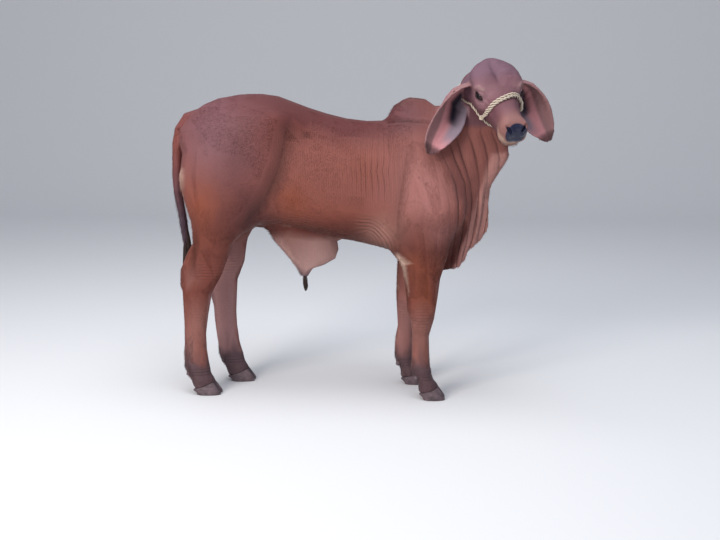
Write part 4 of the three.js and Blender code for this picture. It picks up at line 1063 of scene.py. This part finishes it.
def makeSkinMaterial():
    made, tree, surface = newMaterial("coatSkin")
    place, wet = animalPlace(tree), attributeOf(tree, "wet")
    # The folds darken the coat colour in their valleys as painted shade, and bump the skin
    values = {"Phase": attributeOf(tree, "foldPhase"), "Depth": attributeOf(tree, "foldDepth"),
              "Darkness": paintedFoldShade}
    folds = placed(tree, skinWrinkles, values)
    marks = scaledBy(tree, attributeOf(tree, "markingAndShade", "Color"), folds.outputs["Shade"])
    rough = coatSurface(tree, surface, place, marks)
    fur = placed(tree, furGrain, {"Place": place, "Upright": attributeOf(tree, "runsDown")})
    phase = mathOf(tree, "MULTIPLY_ADD", noiseOf(tree, place, 14.0, 3.0), 2.0, attributeOf(tree, "finePhase"))
    fine = placed(tree, skinWrinkles, {"Phase": phase, "Depth": attributeOf(tree, "fineDepth")})
    values = {"Vector": place, "Scale": 230.0}
    cells = shaderNode(tree, "ShaderNodeTexVoronoi", values, feature="DISTANCE_TO_EDGE").outputs["Distance"]
    normal = bumpOf(tree, folds.outputs["Height"], 0.003)
    normal = bumpOf(tree, fine.outputs["Height"], 0.0011, 1.0, normal)
    normal = bumpOf(tree, fur.outputs["Height"], 0.0010, mathOf(tree, "SUBTRACT", 1.0, wet), normal)
    normal = bumpOf(tree, rangeOf(tree, cells, 0.0, 0.16, 0.0, 1.0), 0.0007, wet, normal)
    values = {"Roughness": mixOf(tree, wet, rough, 0.26), "Coat Weight": mathOf(tree, "MULTIPLY", wet, 0.4),
              "Coat Roughness": 0.25, "Normal": normal}
    fill(tree, surface, values)
    return made


# How strongly painted shade darkens the fold valleys, on the skin and on the tufts
paintedFoldShade = 0.7
skin.data.materials.append(makeSkinMaterial())
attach(skin, "root")
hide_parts(*[n for names in fleshNodes.values() for n in names if not n.startswith("eye")])


# The skin unwrapped, so that each tuft knows its root's place there
def unwrapSkin():
    bpy.context.view_layer.objects.active = skin
    skin.select_set(True)
    bpy.ops.object.mode_set(mode="EDIT")
    bpy.ops.mesh.select_all(action="SELECT")
    bpy.ops.uv.smart_project(angle_limit=1.15, island_margin=0.0005)
    bpy.ops.object.mode_set(mode="OBJECT")
    skin.select_set(False)
    mesh = skin.data
    corners = np.empty(len(mesh.loops) * 2, np.float32)
    mesh.uv_layers.active.uv.foreach_get("vector", corners)
    ends = np.empty(len(mesh.polygons) * 3, np.int32)
    mesh.loops.foreach_get("vertex_index", ends)
    return ends.reshape(-1, 3), corners.reshape(-1, 3, 2)


skinTriangles, skinUnwrap = unwrapSkin()
skinInAnimal = placesOf(skinPoints)


# The lie of the hair: back along the body, down the legs, neck, face and tail, outward along the ears
def lieOfHair():
    def spread(mask, direction):
        return mask[:, None] * np.array(direction, float)

    body = share["torso"] + share["hump"] + share["sheath"] + share["scrotum"]
    lie = spread(body, (-1.0, 0.0, -0.35)) + spread(share["neck"] + share["dewlap"], (-0.45, 0.0, -0.85))
    lie += spread(share["legs"] + share["feet"], (-0.15, 0.0, -1.0)) + spread(share["tail"], (0.0, 0.0, -1.0))
    turned = np.array(headFrame.to_3x3())
    side = np.sign(skinHeadPlaces[:, 1])
    face = np.stack([np.ones(len(side)), 0.2 * side, -0.35 * np.ones(len(side))], 1)
    ears = np.stack([np.ones(len(side)), np.where(side > 0, 0.75, -1.08), np.full(len(side), -0.8)], 1)
    lie += share["head"][:, None] * (face @ turned.T) + share["ears"][:, None] * (ears @ turned.T)
    lie -= (lie * skinNormals).sum(1)[:, None] * skinNormals
    return unit(relaxed(unit(lie), skinEdges, np.full(len(lie), 0.5), 6))


skinLie = lieOfHair()


# Roots strewn over the skin, thicker where weights are high
def strewn(weights, count, rng):
    corners = skinPoints[skinTriangles]
    area = np.linalg.norm(np.cross(corners[:, 1] - corners[:, 0], corners[:, 2] - corners[:, 0]), axis=1)
    chance = area * weights[skinTriangles].mean(1)
    chosen = rng.choice(len(area), count, p=chance / chance.sum())
    u, v = rng.random((2, count))
    flip = u + v > 1
    u, v = np.where(flip, 1 - u, u), np.where(flip, 1 - v, v)
    inside = np.stack([1 - u - v, u, v], 1)
    ends = skinTriangles[chosen]

    def carried(values):
        return (values[ends] * inside.reshape(inside.shape + (1,) * (values.ndim - 1))).sum(1)

    return carried, (skinUnwrap[chosen] * inside[:, :, None]).sum(1)


# Two forms of tuft, both closed: short ones are a sliver of four faces, long ones bend over once on the way.
# Each row of corners is how far along, aside and above it lies, in lengths and half widths
tuftForms = {
    "short": {
        "corners": [[-0.08, -1, -0.5], [-0.08, 1, -0.5], [0.25, 0, 0.5], [1, 0, 0]],
        "rises": [-0.3, -0.3, 0.3, 1],
        "faces": [[0, 2, 1], [0, 1, 3], [1, 2, 3], [2, 0, 3]],
    },
    "long": {
        "corners": [[-0.05, -0.8, 0], [-0.05, 0.8, 0], [0, 0, 1], [0.5, -1, 0], [0.5, 1, 0], [0.5, 0, 0.8],
                    [1, 0, 0]],
        "rises": [-0.2, -0.2, -0.2, 0.8, 0.8, 0.8, 1],
        "faces": [[0, 2, 1], [0, 1, 4], [0, 4, 3], [1, 2, 5], [1, 5, 4], [2, 0, 3], [2, 3, 5], [3, 4, 6],
                  [4, 5, 6], [5, 3, 6]],
    },
}


def tuftMesh(name, form, roots, normals, lies, length, width, rise, colours, patch):
    count = len(roots)
    across = unit(np.cross(normals, lies))
    along, aside, above = np.array(tuftForms[form]["corners"], float).T
    up = rise[:, None] * tuftForms[form]["rises"] + 0.5 * width[:, None] * 0.4 * above
    corners = roots[:, None] + lies[:, None] * (length[:, None] * along)[:, :, None]
    sideways = across[:, None] * (0.5 * width[:, None] * aside)[:, :, None]
    corners += sideways + normals[:, None] * up[:, :, None]
    each = len(along)
    faces = np.array(tuftForms[form]["faces"])
    faces = (faces[None] + each * np.arange(count)[:, None, None]).reshape(-1, 3)
    mesh = bpy.data.meshes.new(name)
    mesh.vertices.add(each * count)
    mesh.loops.add(faces.size)
    mesh.polygons.add(len(faces))
    mesh.vertices.foreach_set("co", corners.astype(np.float32).ravel())
    mesh.loops.foreach_set("vertex_index", faces.astype(np.int32).ravel())
    mesh.polygons.foreach_set("loop_start", np.arange(0, faces.size, 3, dtype=np.int32))
    mesh.update(calc_edges=True)
    spots = np.stack([aside, 2 * along - 1], 1) * 0.0014
    uv = (patch[:, None] + spots[None]).reshape(-1, 2)[faces.ravel()]
    mesh.uv_layers.new(name="OFBake").uv.foreach_set("vector", uv.astype(np.float32).ravel())
    addAttribute(mesh, "markingAndShade", np.repeat(colours, each, axis=0))
    shadeSmooth(mesh)
    mesh.normals_split_custom_set_from_vertices(np.repeat(normals, each, axis=0))
    return mesh


def addCoat(name, mesh):
    thing = newObject(name, mesh, coatHair)
    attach(thing, "root")


coatHair = makeHairyMaterial()
# The short coat: each piece's regions, where it starts and ends along the animal, and how many tufts it has
coatPieces = {
    "coatHindquarters": (["torso", "tail"], -1.0, -0.38, 44000),
    "coatBarrel": (["torso", "sheath", "scrotum"], -0.38, 0.06, 44000),
    "coatShoulder": (["torso", "hump"], 0.06, 1.0, 44000),
    "coatNeck": (["neck", "dewlap"], -1.0, 1.0, 40000),
    "coatHindLegs": (["legs", "feet"], -1.0, 0.0, 40000),
    "coatForelegs": (["legs", "feet"], 0.0, 1.0, 36000),
    "coatHead": (["head"], -1.0, 1.0, 44000),
    "coatEars": (["ears"], -1.0, 1.0, 24000),
}
coatValues = {
    "lengths": {"torso": 0.011, "hump": 0.008, "neck": 0.011, "dewlap": 0.011, "head": 0.0062, "ears": 0.0045,
                "tail": 0.012, "sheath": 0.010, "scrotum": 0.006, "legs": 0.010, "feet": 0.0065},
    "slimness": 0.13,
    "rise": 0.06,
    "turning": 0.16,
    "shades": (0.91, 1.12),
}
bare = np.clip(share["nosePad"] * 3, 0, 1)
for side in bothSides:
    bare = np.maximum(bare, smoothStep(1.5, 1.3, eyeOpening(skinPoints, side)))
hairLength = np.sum([share[name] * length for name, length in coatValues["lengths"].items()], axis=0)
hairLength *= (1 - 0.5 * share["head"] * smoothStep(0.24, 0.34, skinHeadPlaces[:, 0])) * (1 - 0.5 * foldDepth)


def turnedAbout(lies, normals, amount, rng):
    return unit(lies + rng.normal(0, amount, (len(lies), 1)) * np.cross(normals, lies))


def makeCoat(name, regions, start, end, count, seed):
    rng = np.random.default_rng(seed)
    weights = np.sum([share[region] for region in regions], axis=0)
    x = skinInAnimal[:, 0]
    weights = np.where((weights > 0.4) & (x >= start) & (x < end), 1 - bare, 0)
    carried, patch = strewn(weights, count, rng)
    normals = unit(carried(skinNormals))
    lies = turnedAbout(unit(carried(skinLie)), normals, coatValues["turning"], rng)
    length = carried(hairLength) * rng.uniform(0.7, 1.25, count)
    width = length * coatValues["slimness"] * rng.uniform(0.8, 1.2, count)
    rise = coatValues["rise"] * length * rng.uniform(0.6, 1.4, count) * (1 + carried(share["ears"]))
    # Tufts in a fold's valley take the same painted shade as the skin there
    valley = (1 - np.abs(np.sin(math.pi * carried(foldPhase)))) ** 3 * carried(foldDepth)
    shade = rng.uniform(*coatValues["shades"], count) * (1 - paintedFoldShade * valley)
    colours = carried(skinColour) * shade[:, None]
    mesh = tuftMesh(name, "short", carried(skinPoints), normals, lies, length, width, rise, colours, patch)
    addCoat(name, mesh)


for seed, (name, values) in enumerate(coatPieces.items()):
    makeCoat(name, *values, seed)
print("short coat made")

# Longer hair where it shows: how many tufts, their length, width and rise in metres, the way they point,
# which is mixed with the lie of the hair, and how much paler they are
fringeSeed = 40
fringeValues = {
    "earRims": (2600, 0.010, 0.0012, 0.002, (0, 0, -0.4), 0.0),
    "dewlapEdge": (1500, 0.014, 0.0014, 0.003, (0, 0, -0.6), 0.1),
    "bellyLine": (1500, 0.015, 0.0016, 0.002, (-0.5, 0, -0.3), 0.1),
    "buttockRim": (1100, 0.010, 0.0012, 0.001, (-0.2, 0, -0.6), 0.0),
    "elbowFringe": (700, 0.013, 0.0012, 0.002, (-0.4, 0, -0.6), 0.5),
    "fetlocks": (1200, 0.018, 0.0016, 0.003, (-0.3, 0, -0.9), 0.0),
    "coronets": (1500, 0.009, 0.0014, 0.0015, (0, 0, -1.2), 0.0),
    "brows": (160, 0.006, 0.0008, 0.0010, (0, 0, 0), 0.04),
    "chin": (320, 0.012, 0.0008, 0.006, (0, 0, -0.3), 0.3),
    "humpCrest": (900, 0.010, 0.0012, 0.0012, (-0.3, 0, 0), 0.1),
    "tailSides": (700, 0.028, 0.0014, 0.004, (0, 0, -1.0), 0.0),
}


def fringeWeights():
    h, p, n = skinHeadPlaces, skinInAnimal, skinNormals
    standing = standingPlaces(skinPoints)
    flat = np.stack([standing[:, 0], p[:, 2]], 1)
    legs = share["legs"] + share["feet"]
    rear, elbow = (alongLine(flat, paleStrips[key]["line"])[0] for key in ("buttock", "elbow"))
    return {
        "earRims": share["earRim"] > 0.35,
        "dewlapEdge": (share["dewlap"] > 0.5) & (np.abs(n[:, 1]) < 0.75),
        "bellyLine": (share["torso"] > 0.5) & (n[:, 2] < -0.75) & (p[:, 2] < 0.80),
        "buttockRim": (share["torso"] + legs > 0.5) & (rear < 0.012),
        "elbowFringe": (legs > 0.5) & (n[:, 0] < 0.1) & (elbow < 0.015),
        "fetlocks": (legs > 0.5) & (p[:, 2] > 0.085) & (p[:, 2] < 0.15) & (n[:, 0] < -0.3),
        "coronets": (share["feet"] > 0.4) & (p[:, 2] < 0.075) & (p[:, 2] > 0.052),
        "brows": (share["head"] > 0.5) & (alongLine(mirroredPlaces(h), browStreak)[0] < 0.008),
        "chin": (share["head"] > 0.5) & (h[:, 0] > 0.30) & (h[:, 2] < -0.13),
        "humpCrest": (share["hump"] > 0.5) & (n[:, 2] > 0.75),
        "tailSides": (share["tail"] > 0.5) & (p[:, 2] < 0.80),
    }


def makeFringes():
    pieces = []
    for seed, (name, where) in enumerate(fringeWeights().items()):
        count, *sizes, way, pale = fringeValues[name]
        rng = np.random.default_rng(fringeSeed + seed)
        carried, patch = strewn(where.astype(float), count, rng)
        normals = unit(carried(skinNormals))
        lies = unit(carried(skinLie)) + np.array(way)
        lies = unit(lies - 0.8 * (lies * normals).sum(1)[:, None] * normals)
        lies = turnedAbout(lies, normals, 0.22, rng)
        length, width, rise = (size * rng.uniform(0.6, 1.3, count) for size in sizes)
        colours = mixed(carried(skinColour), coatColours["pale"], np.full(count, pale))
        colours = colours * rng.uniform(0.8, 1.2, (count, 1))
        pieces.append((carried(skinPoints), normals, lies, length, width, rise, colours, patch))
    joined = [np.concatenate(values) for values in zip(*pieces)]
    addCoat("coatFringes", tuftMesh("coatFringes", "long", *joined))


makeFringes()
print("fringes made")


# Eyes: a dark ball with a raised cornea, looking out through the lids
def makeEyeMaterial():
    made, tree, surface = newMaterial("eyeball")
    gaze = shaderNode(tree, "ShaderNodeUVMap", None, uv_map="gaze").outputs["UV"]
    parts = shaderNode(tree, "ShaderNodeSeparateXYZ", {"Vector": gaze})
    values = {"X": parts.outputs["X"], "Y": mathOf(tree, "MULTIPLY", parts.outputs["Y"], 1.5)}
    stretched = shaderNode(tree, "ShaderNodeCombineXYZ", values).outputs["Vector"]
    oval, whole = (
        shaderNode(tree, "ShaderNodeVectorMath", {0: place}, operation="LENGTH").outputs["Value"]
        for place in (stretched, gaze)
    )
    ring = rampOf(tree, whole, [
        (0.30, (0.008, 0.005, 0.006)),
        (0.62, (0.014, 0.008, 0.009)),
        (0.70, (0.003, 0.002, 0.003)),
        (0.80, (0.06, 0.03, 0.028)),
    ])
    values = {"Factor": rangeOf(tree, oval, 0.38, 0.44, 1.0, 0.0), 6: ring, 7: (0.002, 0.002, 0.004, 1)}
    colour = shaderNode(tree, "ShaderNodeMix", values, data_type="RGBA").outputs[2]
    fill(tree, surface, {"Base Color": colour, "Roughness": 0.05, "Specular IOR Level": 0.3})
    return made


def makeEye(name, side, material):
    centre, look, corner, over = eyeAxes(side)
    radius = eyeValues["radius"]
    turned = Matrix((corner, over * side, look)).transposed().to_4x4()
    bm = bmesh.new()
    bmesh.ops.create_uvsphere(bm, u_segments=48, v_segments=32, radius=radius)
    for v in bm.verts:
        v.co += v.co.normalized() * 0.0012 * float(smoothStep(0.72, 0.95, v.co.z / radius))
    layer = bm.loops.layers.uv.new("gaze")
    for face in bm.faces:
        for loop in face.loops:
            out = loop.vert.co.xy / radius * (1.4 if loop.vert.co.z > 0 else 3)
            loop[layer].uv = out
    bmesh.ops.transform(bm, matrix=Matrix.Translation(centre) @ turned, verts=bm.verts)
    bmesh.ops.recalc_face_normals(bm, faces=bm.faces)
    mesh = meshFrom(bm, name)
    shadeSmooth(mesh)
    thing = newObject(name, mesh, material)
    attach(thing, "root")
    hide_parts("eye_right" if side < 0 else "eye_left")


eyeMaterial = makeEyeMaterial()
makeEye("eyeRight", rightSide, eyeMaterial)
makeEye("eyeLeft", leftSide, eyeMaterial)


# Hooves: two claws and two dewclaws a foot, rounded, with growth rings
def makeHoofMaterial():
    made, tree, surface = newMaterial("hoofHorn")
    place = animalPlace(tree)
    values = {"Vector": place, "Scale": 28.0, "Distortion": 3.0, "Detail": 2.0, "Detail Scale": 2.0}
    rings = shaderNode(tree, "ShaderNodeTexWave", values, bands_direction="Z").outputs["Fac"]
    shades = [(0.3, (0.060, 0.040, 0.045)), (0.7, (0.175, 0.115, 0.125))]
    horn = rampOf(tree, noiseOf(tree, place, 45.0, 5.0), shades)
    fill(tree, surface, {"Base Color": horn, "Roughness": 0.6, "Normal": bumpOf(tree, rings, 0.0004)})
    return made


hoofMaterial = makeHoofMaterial()


def makeHoof(leg):
    nodes = [f"{leg}_{kind}_{which}" for kind in ("claw", "dewclaw") for which in ("outer", "inner")]
    name = "hooves" + leg.title().replace("_", "")
    thing = remeshed(newObject(name, meshFrom(mergedCopy(nodes), name)), 0.0028)
    softened(thing, np.full(len(thing.data.vertices), 0.8), 5)
    shadeSmooth(thing.data)
    thing.data.materials.append(hoofMaterial)
    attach(thing, "root")
    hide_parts(*nodes)


for leg in legNames:
    makeHoof(leg)
print("hooves made")


# Halter: twisted rope laid on the skin
skinTree = BVHTree.FromPolygons(skinPoints.tolist(), skinTriangles.tolist())


def onSkin(place, level):
    spot, normal = skinTree.find_nearest(place)[:2]
    return spot + normal * level


def curveThrough(points, steps):
    points = [Vector(q) for q in points]
    whole = [points[0]] + points + [points[-1]]
    line = []
    for i in range(1, len(whole) - 2):
        a, b, c, d = whole[i - 1 : i + 3]
        for j in range(steps):
            t = j / steps
            straight = 2 * b + (c - a) * t
            bend = (2 * a - 5 * b + 4 * c - d) * t**2
            line.append(0.5 * (straight + bend + (3 * b - a - 3 * c + d) * t**3))
    return line + [points[-1]]


def evenly(line, spacing):
    reach = np.cumsum([0] + [(b - a).length for a, b in zip(line, line[1:])])
    count = max(int(reach[-1] / spacing), 2)
    where = np.linspace(0, reach[-1], count + 1)
    coordinates = np.array([tuple(q) for q in line])
    return np.stack([np.interp(where, reach, coordinates[:, i]) for i in range(3)], 1)


def tubeMesh(name, lines, radius, roundness=3):
    curve = bpy.data.curves.new(name, "CURVE")
    curve.dimensions = "3D"
    curve.bevel_depth = 1.0
    curve.bevel_resolution = roundness
    curve.use_fill_caps = True
    for line, widths in lines:
        spline = curve.splines.new("POLY")
        spline.points.add(len(line) - 1)
        for point, place, wide in zip(spline.points, line, widths):
            point.co = (*place, 1)
            point.radius = wide * radius
    thing = newObject(name, curve)
    mesh = evaluatedMesh(thing)
    bpy.data.objects.remove(thing)
    return mesh


# Lengths in metres, and places in the head's axes in millimetres. A strand's radius and its distance from the
# rope's middle are in radii of the rope
halterValues = {
    "rope": 0.0055,
    "strap": 0.0045,
    "pitch": 0.036,
    "strands": {"count": 2, "offset": 0.50, "radius": 0.56},
    "knot": {"level": 0.006, "reach": 0.0065, "radius": 0.7, "steps": 46, "turns": (3.0, 1.3)},
    "knots": {"right": (196, -69, -130), "left": (202, 70, -82)},
    "upperBand": [(216, -64, -92), (232, -56, -58), (240, -44, -28), (241, -26, -14), (235, -4, -8),
                  (224, 24, -8), (212, 52, -24), (204, 68, -52)],
    "lowerBand": [(226, -61, -90), (243, -53, -56), (251, -40, -27), (252, -22, -13), (246, 0, -9),
                  (234, 28, -11), (222, 54, -27), (212, 68, -54)],
    "crown": [(162, -84, -121), (130, -98, -114), (100, -110, -124), (60, -126, -122), (24, -124, -124),
              (-8, -108, -130), (-36, -78, -130), (-48, -40, -114), (-42, 0, -102), (-22, 42, -120),
              (10, 68, -140), (46, 84, -149), (96, 95, -133), (130, 97, -116), (162, 88, -108)],
    "chin": [(204, -52, -156), (212, -26, -172), (214, 0, -176), (212, 26, -172), (208, 52, -150)],
}


def twistedStrands(line, radius):
    strands, pitch = halterValues["strands"], halterValues["pitch"]
    line = evenly(line, pitch / 10)
    tangents = unit(np.gradient(line, axis=0))
    out = unit(np.cross(tangents, (0.3, 0.5, 0.8)))
    aside = np.cross(tangents, out)
    reach = np.r_[0, np.cumsum(np.linalg.norm(np.diff(line, axis=0), axis=1))]
    made = []
    for i in range(strands["count"]):
        turn = math.tau * (reach / pitch + i / strands["count"])
        offset = strands["offset"] * radius * (np.cos(turn)[:, None] * out + np.sin(turn)[:, None] * aside)
        made.append((line + offset, np.full(len(line), strands["radius"])))
    return made, line


def ropeLine(points, radius):
    line = curveThrough([inHead(*q) for q in points], 6)
    return [onSkin(q, radius) for q in line]


def makeRopeMaterial():
    made, tree, surface = newMaterial("halterRope")
    place, twist = objectPlace(tree), attributeOf(tree, "ropeHeight")
    height = mathOf(tree, "MULTIPLY_ADD", noiseOf(tree, place, 240.0, 4.0), 0.5, twist)
    # Dark in the grooves between the strands and pale on their crests: painted shade in the grooves
    colour = rampOf(tree, height, [(0.35, (0.07, 0.045, 0.04)), (1.0, (0.60, 0.50, 0.39))])
    fibres = bumpOf(tree, noiseOf(tree, place, 900.0, 2.0), 0.0006)
    fill(tree, surface, {"Base Color": colour, "Roughness": 0.85, "Normal": fibres})
    return made


ropeMaterial = makeRopeMaterial()


# A knot is a ball wound of a few turns of strand
def knotStrand(place):
    knot = halterValues["knot"]
    middle, share = onSkin(inHead(*place), knot["level"]), np.linspace(0, 1, knot["steps"])
    a, b = (math.tau * turns * share for turns in knot["turns"])
    offset = np.stack([np.cos(a) * np.cos(b), np.sin(b), np.sin(a) * np.cos(b)], 1)
    return np.array(middle) + knot["reach"] * offset, np.full(knot["steps"], knot["radius"])


def makeHalter():
    v = halterValues
    right, left = v["knots"]["right"], v["knots"]["left"]
    bands = [[right, *v["upperBand"], left], [right, *v["lowerBand"], left]]
    routes = {
        "halterNoseband": (bands, v["rope"], "halter_noseband"),
        "halterCrownpiece": ([[right, *v["crown"], left]], v["strap"], "halter_crownpiece"),
        "halterChinRope": ([[right, *v["chin"], left]], v["strap"], "halter_chin_rope"),
    }
    for name, (lines, radius, node) in routes.items():
        strands, axes = [], []
        for line in lines:
            made, axis = twistedStrands(ropeLine(line, radius), radius)
            strands, axes = strands + made, axes + [axis]
        if node == "halter_noseband":
            strands += [knotStrand(right), knotStrand(left)]
        mesh = tubeMesh(name, strands, radius)
        axis = np.concatenate(axes)
        points = pointsOf(mesh)
        nearest = np.concatenate([
            np.linalg.norm(part[:, None] - axis[None], axis=2).min(1) for part in np.array_split(points, 40)
        ])
        # How far each point stands out from the rope's middle; the material shades the grooves from it as
        # painted shade
        addAttribute(mesh, "ropeHeight", smoothStep(0.35, 1.0, nearest / radius))
        shadeSmooth(mesh)
        thing = newObject(name, mesh, ropeMaterial)
        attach(thing, "root")
        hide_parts(node)


makeHalter()
print("halter made")


# Long dark hair: the tail's switch and the tuft on the sheath
def makeHairMaterial():
    made, tree, surface = newMaterial("darkHair")
    noise = noiseOf(tree, objectPlace(tree), 120.0, 3.0)
    colour = rampOf(tree, noise, [(0.0, (0.012, 0.008, 0.009)), (1.0, (0.075, 0.035, 0.025))])
    fill(tree, surface, {"Base Color": colour, "Roughness": 0.5})
    return made


hairMaterial = makeHairMaterial()


def hangingHair(name, node, top, bottom, spread, count, width, seed):
    rng = np.random.default_rng(seed)
    lines = []
    for i in range(count):
        turn = rng.uniform(0, math.tau)
        out = Vector((math.cos(turn), math.sin(turn), 0))
        start = top.lerp(bottom, rng.uniform(0, 0.62))
        end = bottom + Vector((0, 0, rng.uniform(0, 0.05) * (top.z - bottom.z) / 0.3))
        wide = spread * rng.uniform(0.2, 1)
        line = [start, start.lerp(end, 0.3) + out * wide * 0.8, start.lerp(end, 0.65) + out * wide,
                end + out * wide * 0.4]
        line = curveThrough(line, 3)
        t = np.linspace(0, 1, len(line))
        lines.append((line, 1 - 0.85 * t**1.5))
    mesh = tubeMesh(name, lines, width, 0)
    shadeSmooth(mesh)
    thing = newObject(name, mesh, hairMaterial)
    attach(thing, "root")
    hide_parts(node)


hangingHair("tailSwitch", "tail_switch", origin + Vector((-0.766, 0, 0.76)),
            origin + Vector((-0.760, 0, 0.345)), 0.024, 520, 0.0012, 3)
hangingHair("sheathTuft", "sheath_tuft", origin + Vector((-0.243, 0, 0.545)),
            origin + Vector((-0.240, 0, 0.442)), 0.011, 160, 0.0009, 4)


# Lashes along the upper lids, between shares of the half length of the opening
lashValues = {"each": 90, "span": (-0.85, 0.9), "length": (0.006, 0.010), "width": 0.0004}


def makeLashes():
    rng = np.random.default_rng(9)
    length, rise = eyeValues["opening"][:2]
    reach = eyeValues["radius"] + eyeValues["lid"]
    lines = []
    for side in bothSides:
        centre, look, corner, over = eyeAxes(side)
        for i in range(lashValues["each"]):
            a = rng.uniform(*lashValues["span"])
            b = (1 - abs(a) ** 1.7) ** (1 / 1.7)
            flat = corner * a * length * 1.04 + over * b * rise * 1.06
            start = centre + flat + look * (math.sqrt(max(reach**2 - flat.length**2, 1e-6)) - 0.001)
            out = (look * 0.9 + over * 0.35 + corner * a * 0.5 + Vector(rng.normal(0, 0.12, 3))).normalized()
            long = rng.uniform(*lashValues["length"])
            line = [start, start + out * long * 0.5, start + out * long - over * long * 0.25]
            lines.append((line, [1.0, 0.8, 0.2]))
    mesh = tubeMesh("lashes", lines, lashValues["width"], 0)
    shadeSmooth(mesh)
    thing = newObject("lashes", mesh, hairMaterial)
    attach(thing, "root")


makeLashes()
print("hair made")


# Stage: a pale floor that curves up behind, soft lights, and the photograph's view
def makeStage():
    bm = bmesh.new()
    front = [bm.verts.new((x, -7.0, 0)) for x in (-9.0, 9.0)]
    edge = bm.edges.new(front)
    bend = [(6.0 + 3 * math.sin(a), 3 - 3 * math.cos(a)) for a in np.linspace(0.15, 1.57, 9)]
    last = [edge]
    place = (-7.0, 0.0)
    for y, z in [(6.0, 0.0), *bend, (9.0, 9.0)]:
        made = bmesh.ops.extrude_edge_only(bm, edges=last)["geom"]
        verts = [g for g in made if isinstance(g, bmesh.types.BMVert)]
        bmesh.ops.translate(bm, verts=verts, vec=(0, y - place[0], z - place[1]))
        last = [g for g in made if isinstance(g, bmesh.types.BMEdge) and all(v in verts for v in g.verts)]
        place = (y, z)
    bmesh.ops.recalc_face_normals(bm, faces=bm.faces)
    mesh = meshFrom(bm, "studioFloor")
    shadeSmooth(mesh)
    made, tree, surface = newMaterial("paleFloor")
    fill(tree, surface, {"Base Color": (0.80, 0.79, 0.78, 1), "Roughness": 0.9})
    floor = newObject("studioFloor", mesh, made)


def addLight(name, place, aim, size, power, colour):
    light = bpy.data.lights.new(name, "AREA")
    light.size, light.energy, light.color = size, power, colour
    thing = bpy.data.objects.new(name, light)
    scene.collection.objects.link(thing)
    thing.location = place
    thing.rotation_euler = (Vector(aim) - Vector(place)).to_track_quat("-Z", "Y").to_euler()


# The photograph's view: place in metres, angles in degrees and lens in millimetres
cameraValues = {"place": (0.279, -3.990, 1.285), "turn": -4.0, "down": 10.54, "lens": 46.5}


def makeCamera():
    turn, down = math.radians(cameraValues["turn"]), math.radians(cameraValues["down"])
    ahead = Vector((math.sin(turn) * math.cos(down), math.cos(turn) * math.cos(down), -math.sin(down)))
    aside = Vector((math.cos(turn), -math.sin(turn), 0))
    lens = bpy.data.cameras.new("camera")
    lens.lens, lens.sensor_width = cameraValues["lens"], 36
    thing = bpy.data.objects.new("camera", lens)
    scene.collection.objects.link(thing)
    axes = Matrix((aside, aside.cross(ahead), -ahead)).transposed().to_4x4()
    thing.matrix_world = Matrix.Translation(origin + Vector(cameraValues["place"])) @ axes
    scene.camera = thing


makeStage()
addLight("overhead", (-0.2, -0.8, 4.6), (0, 0, 0.9), 3.6, 150, (0.88, 0.93, 1.0))
addLight("front", (-3.2, -4.6, 3.2), (0, 0, 0.8), 2.4, 230, (1.0, 0.96, 0.92))
world = bpy.data.worlds.new("studioAir")
world.use_nodes = True
world.node_tree.nodes["Background"].inputs["Color"].default_value = (0.80, 0.86, 1.0, 1)
world.node_tree.nodes["Background"].inputs["Strength"].default_value = 0.45
scene.world = world
scene.view_settings.view_transform = "Standard"
makeCamera()

bpy.context.view_layer.update()
